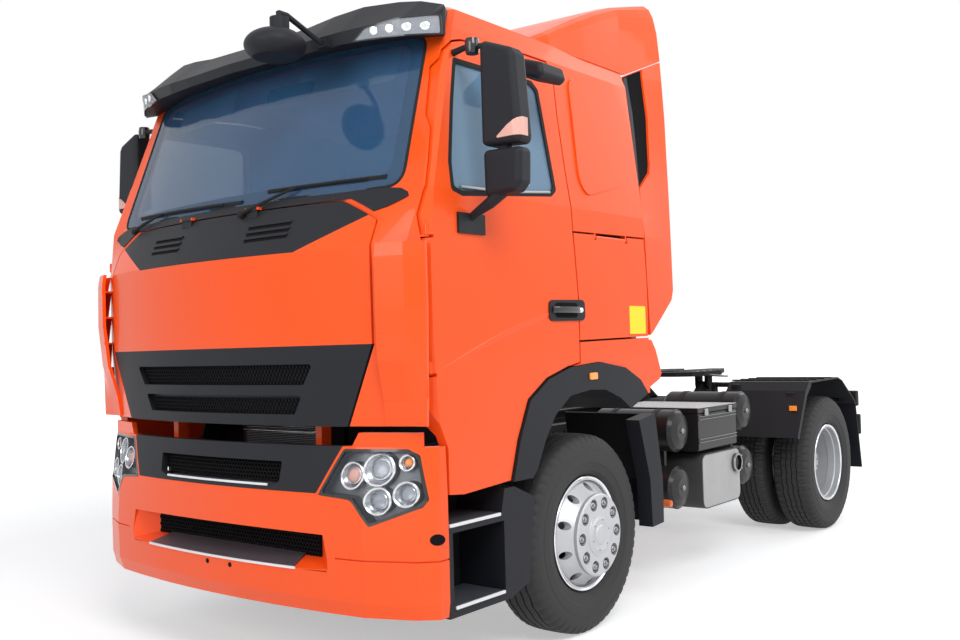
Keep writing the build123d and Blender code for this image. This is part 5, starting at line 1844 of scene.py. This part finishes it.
# ---- chassis fittings --------------------------------------------------------------------------
@dataclass(frozen=True)
class ChassisDetails:
    """Battery lid, straps, bungs, bolts and rails' details."""

    tanks: tuple = ((1190, 964), (1183, 610), (2157, 1025), (2158, 645))
    silencer_end: float = 1140.0
    bolt_pitch: float = 130.0
    air_line_runs: tuple = ((398, 940), (376, 952), (-398, 940))
    groove_radii: tuple = (150, 230, 310)
    port: tuple = (0, 1925, 690)
    coupling_y: float = 3140.0
    coupling_foot: float = 1024.0

    def build(self) -> None:
        """Adds the chassis pieces."""
        lid = box((452, 1152), (1370, 1946), (1092, 1095))
        add_piece("battery_lid_plate", lid, "pale_tread", "chassis", Finish.SHEET)
        bars = [box((1146, 1158), (1380, 1936), (z, z + 7)) for z in (1014, 1034, 868, 888)]
        add_piece("battery_bars", joined(bars), "black_gloss", "chassis", Finish.TANK, bevel=2.5)
        clasp = [box((1150, 1164), (y - 22, y + 22), (1040, 1084)) for y in (1480, 1836)]
        add_piece("battery_clasps", joined(clasp), "steel", "chassis", Finish.SHEET, bevel=4)
        straps, bungs, seams = [], [], []
        for y, z in self.tanks:
            for x in (660, 960):
                straps.append(
                    turned(((x, 132.5), (x, 135.5), (x + 34, 135.5), (x + 34, 132.5)), (0, y, z), 48)
                )
            bungs.append(hexagon((0, y, z), 17, (1124, 1140)))
            seams.append(
                turned(((1086, 130), (1089, 134.5), (1093, 134.5), (1096, 130)), (0, y, z), 48)
            )
        add_piece("tank_straps", joined(straps), Finish.FRAME, "chassis", Finish.TANK, smooth=60)
        add_piece("tank_seams", joined(seams), Finish.TANK, "chassis", Finish.TANK, smooth=60)
        add_piece("tank_bungs", joined(bungs), "steel", "chassis", Finish.TANK)
        port = turned(((1160, 64), (1168, 62), (1168, 52), (1158, 50)), self.port, 40)
        add_piece("silencer_ring", port, "steel", "chassis", Finish.SHEET, smooth=60)
        end = rounded(((1438, 446), (1987, 446), (1987, 782), (1438, 782)), 54, 8)
        add_piece(
            "silencer_face", plate(end, self.on_silencer, 0, 3, 60), "pale_sheet", "chassis",
            Finish.SHEET
        )
        tips = turned(((1166, 49), (1150, 47), (1142, 40), (1141, 1)), self.port, 32)
        add_piece("silencer_port", tips, "dark", "chassis", Finish.SHEET, smooth=60)
        ring = np.array(
            [(0, 60 * math.cos(a), 60 * math.sin(a)) for a in np.arange(4) * math.pi / 2 + 0.8]
        )
        add_piece(
            "silencer_bolts", copies(hexagon(self.port, 7, (1164, 1172)), ring), "steel", "chassis",
            Finish.SHEET
        )
        plug = turned(((1124, 1), (1138, 14), (1138, 20), (1110, 24), (1080, 24)), (0, 1008, 536), 24)
        add_piece("drain_plug", plug, "orange_plug", "chassis", Finish.TANK, smooth=50)
        self.frame_bolts()
        self.fuel()
        self.guards()
        self.coupling()

    def on_silencer(self, uv: np.ndarray, height: float) -> np.ndarray:
        """(y, z) on the silencer's outer end."""
        return np.column_stack([np.full(len(uv), self.silencer_end + height), uv])

    def frame_bolts(self) -> None:
        """Rows of bolt heads along both rails."""
        places = np.array(
            [(0, y, z) for y in np.arange(-900, 4080, self.bolt_pitch) for z in (775, 960)]
        )
        heads = copies(hexagon((0, 0, 0), 11, (429, 441)), places)
        pair("rail_bolts", heads, Finish.CAST, CHASSIS, Finish.FRAME)
        hose = [
            tube([(x + 6 * math.sin(y / 260 + k), y, z) for y in np.linspace(900, 3900, 30)], 9, 8)
            for k, (x, z) in enumerate(self.air_line_runs)
        ]
        add_piece("air_lines", joined(hose), "rubber", "chassis", Finish.FRAME, smooth=60)

    def fuel(self) -> None:
        """Straps round the fuel tank and its cap."""
        outline = rounded(((-1180, 420), (-520, 420), (-520, 1000), (-1180, 1000)), 118, 8)
        straps = []
        for y in (1200, 1650, 2100):
            near = np.column_stack([outline[:, 0], np.full(len(outline), y - 22.0), outline[:, 1]])
            grown = inset(outline, -4)
            out_a = np.column_stack([grown[:, 0], np.full(len(grown), y - 22.0), grown[:, 1]])
            out_b = out_a + (0, 44, 0)
            far = near + (0, 44, 0)
            straps.append(grid(np.stack([near, out_a, out_b, far], 0), wrap_u=True, wrap_v=True))
        add_piece("fuel_straps", joined(straps), "steel", "chassis", Finish.TANK, smooth=50)
        cap = turned(((1040, 62), (1068, 62), (1078, 54), (1080, 1)), (-1060, 1150, 0), 36, "z")
        add_piece("fuel_cap", cap, "black_gloss", "chassis", Finish.TANK, smooth=40)

    def guards(self) -> None:
        """Ribs on the rear guards and the brackets that carry them."""
        ribs = [box((606, 1238), (y, y + 18), (1190, 1202)) for y in (3080, 3240, 3400, 3560)]
        pair("guard_ribs", joined(ribs), Finish.PLASTIC, CHASSIS, Finish.PLASTIC, bevel=4)
        bracket = joined([
            box((640, 700), (2990, 3060), (1120, 1168)), box((1100, 1160), (2960, 3000), (1060, 1110)),
        ])
        pair("guard_brackets", bracket, Finish.FRAME, CHASSIS, Finish.FRAME, bevel=4)

    def coupling(self) -> None:
        """Grease grooves, bolts and release handle of the fifth wheel."""
        y = self.coupling_y
        places = np.array([(x, y + dy, 0) for x in (-395, 395) for dy in (-230, -120, 0)])
        heads = copies(hexagon((0, 0, 0), 13, (1268, 1278), "z"), places)
        add_piece("coupling_bolts", heads, "steel", "coupling_plate", Finish.CAST)
        grooves = []
        for radius in self.groove_radii:
            t = np.linspace(math.radians(200), math.radians(340), 40)
            path = np.column_stack([radius * np.cos(t), y + radius * np.sin(t), np.full(40, 1274.6)])
            grooves.append(tube(path, 2.6, 6))
        add_piece("coupling_grooves", joined(grooves), "dark", "coupling_plate", Finish.CAST)
        handle = tube(
            ((430, y - 160, 1246), (520, y - 170, 1240), (600, y - 172, 1236), (612, y - 150, 1236)), 9,
            10
        )
        add_piece("release_handle", handle, "steel", "coupling_plate", Finish.CAST, smooth=60)
        pins = np.array([(x, yy, 0) for x in (-380, 380) for yy in (y - 260, y - 90, y + 90, y + 260)])
        base = copies(hexagon((0, 0, 0), 14, (self.coupling_foot, self.coupling_foot + 16), "z"), pins)
        add_piece("coupling_base_bolts", base, "steel", "chassis", Finish.CAST)


@dataclass(frozen=True)
class Interior:
    """What shows through the glass."""

    wheel_x: float = -520.0
    vents: tuple = (-900, 0, 300, 900)
    blinds: tuple = (-560, 560)

    def build(self) -> None:
        """Adds the cab's inner pieces."""
        dials = joined([
            turned(
                ((-996, 62), (-990, 62), (-986, 56), (-992, 1)), (self.wheel_x + dx, 0, 2172), 32, "y"
            )
            for dx in (-85, 85)
        ])
        add_piece("dials", dials, "black_gloss", "cab", Finish.CABIN)
        vents = [
            plate(
                ((x - 90, 2060), (x + 90, 2060), (x + 90, 2120), (x - 90, 2120)), self.on_dash, 0, 6
            ) for x in self.vents
        ]
        add_piece("dash_vents", joined(vents), "dark", "cab", Finish.CABIN, bevel=3)
        lever = tube(((-230, -760, 1500), (-230, -750, 1700), (-236, -720, 1860)), (14, 12, 10), 12)
        knob = turned(
            ((1850, 6), (1862, 26), (1890, 32), (1914, 24), (1922, 1)), (-236, -718, 0), 24, "z"
        )
        add_piece("gear_lever", joined([lever, knob]), "black_gloss", "cab", Finish.CABIN, smooth=60)
        visors = [
            slab(
                rounded(((x - 300, 2800), (x + 300, 2800), (x + 300, 2960), (x - 300, 2960)), 30),
                on_front(CAB_SKIN, 85), 16
            )
            for x in self.blinds
        ]
        add_piece("sun_blinds", joined(visors), "headlining", "cab", Finish.CABIN, bevel=5)

    def on_dash(self, uv: np.ndarray, height: float) -> np.ndarray:
        """(x, z) on the dashboard's rear face."""
        y = np.interp(uv[:, 1], (1960, 2040, 2150), (-1040, -960, -1010))
        return np.column_stack([uv[:, 0], y + height, uv[:, 1]])


# ---- dressing of the CAD's own pieces ---------------------------------------------------------
WORN = {
    Finish.ORANGE: (
        "cab_shell", "door_left", "door_right", "front_lid", "front_bumper", "corner_panels",
        "locker_lid_left",
        "locker_lid_right", "roof_deflector", "side_deflectors",
    ),
    Finish.PLASTIC: (
        "cowl_panel", "grille_panel", "bumper_centre", "sun_visor", "arch_trims", "step_boxes",
        "wheel_guards",
        "rear_guards", "front_mirror", "mirror_left", "mirror_right",
    ),
    Finish.GLASS: ("windscreen",),
    # The door glass's lighter blue is painted reflection.
    "door_pane_painted_reflection": ("door_glass_left", "door_glass_right"),
    Finish.LAMP: ("headlamps",),
    Finish.TREAD: ("step_treads",),
    Finish.FRAME: (
        "chassis_frame", "leaf_springs", "front_axle", "rear_axle", "propshaft", "tail_lamps"
    ),
    Finish.RIM: ("rim_front_left", "rim_front_right", "rims_rear_left", "rims_rear_right"),
    Finish.TANK: ("air_tanks", "fuel_tank", "battery_box"),
    Finish.SHEET: ("exhaust_silencer",),
    Finish.CAST: (
        "engine_block", "radiator", "knuckle_left", "knuckle_right", "fifth_wheel_base",
        "fifth_wheel_plate"
    ),
    Finish.FABRIC: ("seats", "bunk"),
    Finish.CABIN: ("dashboard", "steering_wheel"),
}


def dress_nodes() -> None:
    """Gives every CAD node its finish."""
    for finish, names in WORN.items():
        for name in names:
            dress_node(name, finish)


# ---- floor, light and camera --------------------------------------------------------------------
@dataclass(frozen=True)
class Studio:
    """Pale floor, soft lights and the camera."""

    camera_at: tuple = (4.1100, -5.8059, 1.5382)
    ahead: tuple = (-0.62322, 0.78166, 0.02461)
    up: tuple = (0.01534, -0.01924, 0.99970)
    azimuth: float = 38.565
    roll: float = -1.621
    lens: float = 37.89
    film: float = 36.0
    aim: tuple = (0.0, 0.0, 1.2)
    floor_half: float = 60.0
    floor_tone: tuple = (0.82, 0.82, 0.82)
    glow: tuple = (0.44, 0.56)  # near the truck, and what is added far from it
    glow_from: float = 4.5
    glow_rate: float = 0.11
    sky_light: tuple = (0.33, 0.345, 0.37, 1)
    lamps: tuple = (
        # name, place, size, watts
        ("key", (7.5, -6.0, 8.5), 5.0, 650.0),
        ("fill", (1.0, -12.5, 5.5), 5.0, 380.0),
        ("rear", (3.0, 9.5, 7.0), 6.0, 240.0),
        ("side", (9.5, 3.0, 5.5), 5.0, 200.0),
    )

    def build(self) -> None:
        """Sets up the stage."""
        self.floor()
        self.sky()
        for name, place, size, power in self.lamps:
            self.lamp(name, place, size, power)
        self.camera()

    def floor(self) -> None:
        """Large pale floor under the tyres."""
        mesh = bpy.data.meshes.new("floor")
        h = self.floor_half
        mesh.from_pydata([(-h, -h, 0), (h, -h, 0), (h, h, 0), (-h, h, 0)], [], [(0, 1, 2, 3)])
        made = bpy.data.objects.new("floor", mesh)
        bpy.context.scene.collection.objects.link(made)
        d = Dresser("floor")
        distance = d.node("ShaderNodeVectorMath", {"operation": "LENGTH"}, {0: d.place}, 1)
        away = ((distance - self.glow_from) * self.glow_rate).high(0.0).low(1.0)
        path = d.node("ShaderNodeLightPath", {}, {}, "Is Camera Ray").socket.node.outputs
        seen = Wire(d, path["Is Camera Ray"]) + Wire(d, path["Is Glossy Ray"]) + Wire(
            d, path["Is Transmission Ray"]
        )
        glow = (away * self.glow[1] + self.glow[0]) * seen.low(1.0)
        d.finish(
            Base_Color=self.floor_tone, Roughness=0.9, Specular_IOR_Level=0.1,
            Emission_Color=d.blend(glow, (0.0, 0.0, 0.0), (1.0, 1.0, 1.0)), Emission_Strength=1.0,
        )
        mesh.materials.append(d.material)

    def sky(self) -> None:
        """White where it is seen or mirrored, a softer grey as light."""
        world = bpy.data.worlds.new("studio")
        bpy.context.scene.world = world
        world.use_nodes = True
        tree = world.node_tree
        path = tree.nodes.new("ShaderNodeLightPath")
        seen = path.outputs["Is Camera Ray"]
        for name in ("Is Glossy Ray", "Is Transmission Ray"):
            more = tree.nodes.new("ShaderNodeMath")
            more.operation = "MAXIMUM"
            tree.links.new(seen, more.inputs[0])
            tree.links.new(path.outputs[name], more.inputs[1])
            seen = more.outputs[0]
        mix = tree.nodes.new("ShaderNodeMix")
        mix.data_type = "RGBA"
        mix.inputs[6].default_value = self.sky_light
        mix.inputs[7].default_value = (1, 1, 1, 1)
        tree.links.new(seen, mix.inputs[0])
        tree.links.new(mix.outputs[2], tree.nodes["Background"].inputs["Color"])

    def lamp(self, name: str, place: Sequence[float], size: float, power: float) -> None:
        """One soft square light aimed at the truck's middle.

        Args:
            name: the light's name.
            place: where it hangs, in metres.
            size: its side, in metres.
            power: watts.
        """
        data = bpy.data.lights.new(name, "AREA")
        data.energy = power
        data.size = size
        made = bpy.data.objects.new(name, data)
        made.location = place
        made.rotation_euler = (Vector(self.aim) - Vector(place)).to_track_quat("-Z", "Y").to_euler()
        bpy.context.scene.collection.objects.link(made)

    def camera(self) -> None:
        """Camera with the measured place, direction and roll."""
        turn = math.radians(self.azimuth)
        lean = math.radians(self.roll)
        side = Vector((math.cos(turn), math.sin(turn), 0.0))
        up = Vector(self.up)
        ahead = Vector(self.ahead)
        right = side * math.cos(lean) + up * math.sin(lean)
        above = up * math.cos(lean) - side * math.sin(lean)
        matrix = Matrix((right, above, -ahead)).transposed().to_4x4()
        matrix.translation = Vector(self.camera_at)
        data = bpy.data.cameras.new("camera")
        data.lens = self.lens
        data.sensor_width = self.film
        made = bpy.data.objects.new("camera", data)
        made.matrix_world = matrix
        bpy.context.scene.collection.objects.link(made)
        bpy.context.scene.camera = made


def main() -> None:
    """Builds the truck's looks and the studio."""
    logging.basicConfig(level=logging.INFO, format="%(message)s")
    bpy.context.scene.view_settings.view_transform = "Standard"
    dress_nodes()
    for part in (
        Wheels(), Headlamps(), SmallLamps(), Glasshouse(), FrontPanels(), SidePanels(),
        ChassisDetails(), Interior(),
        Studio(),
    ):
        part.build()


if __name__ == "__main__":
    main()
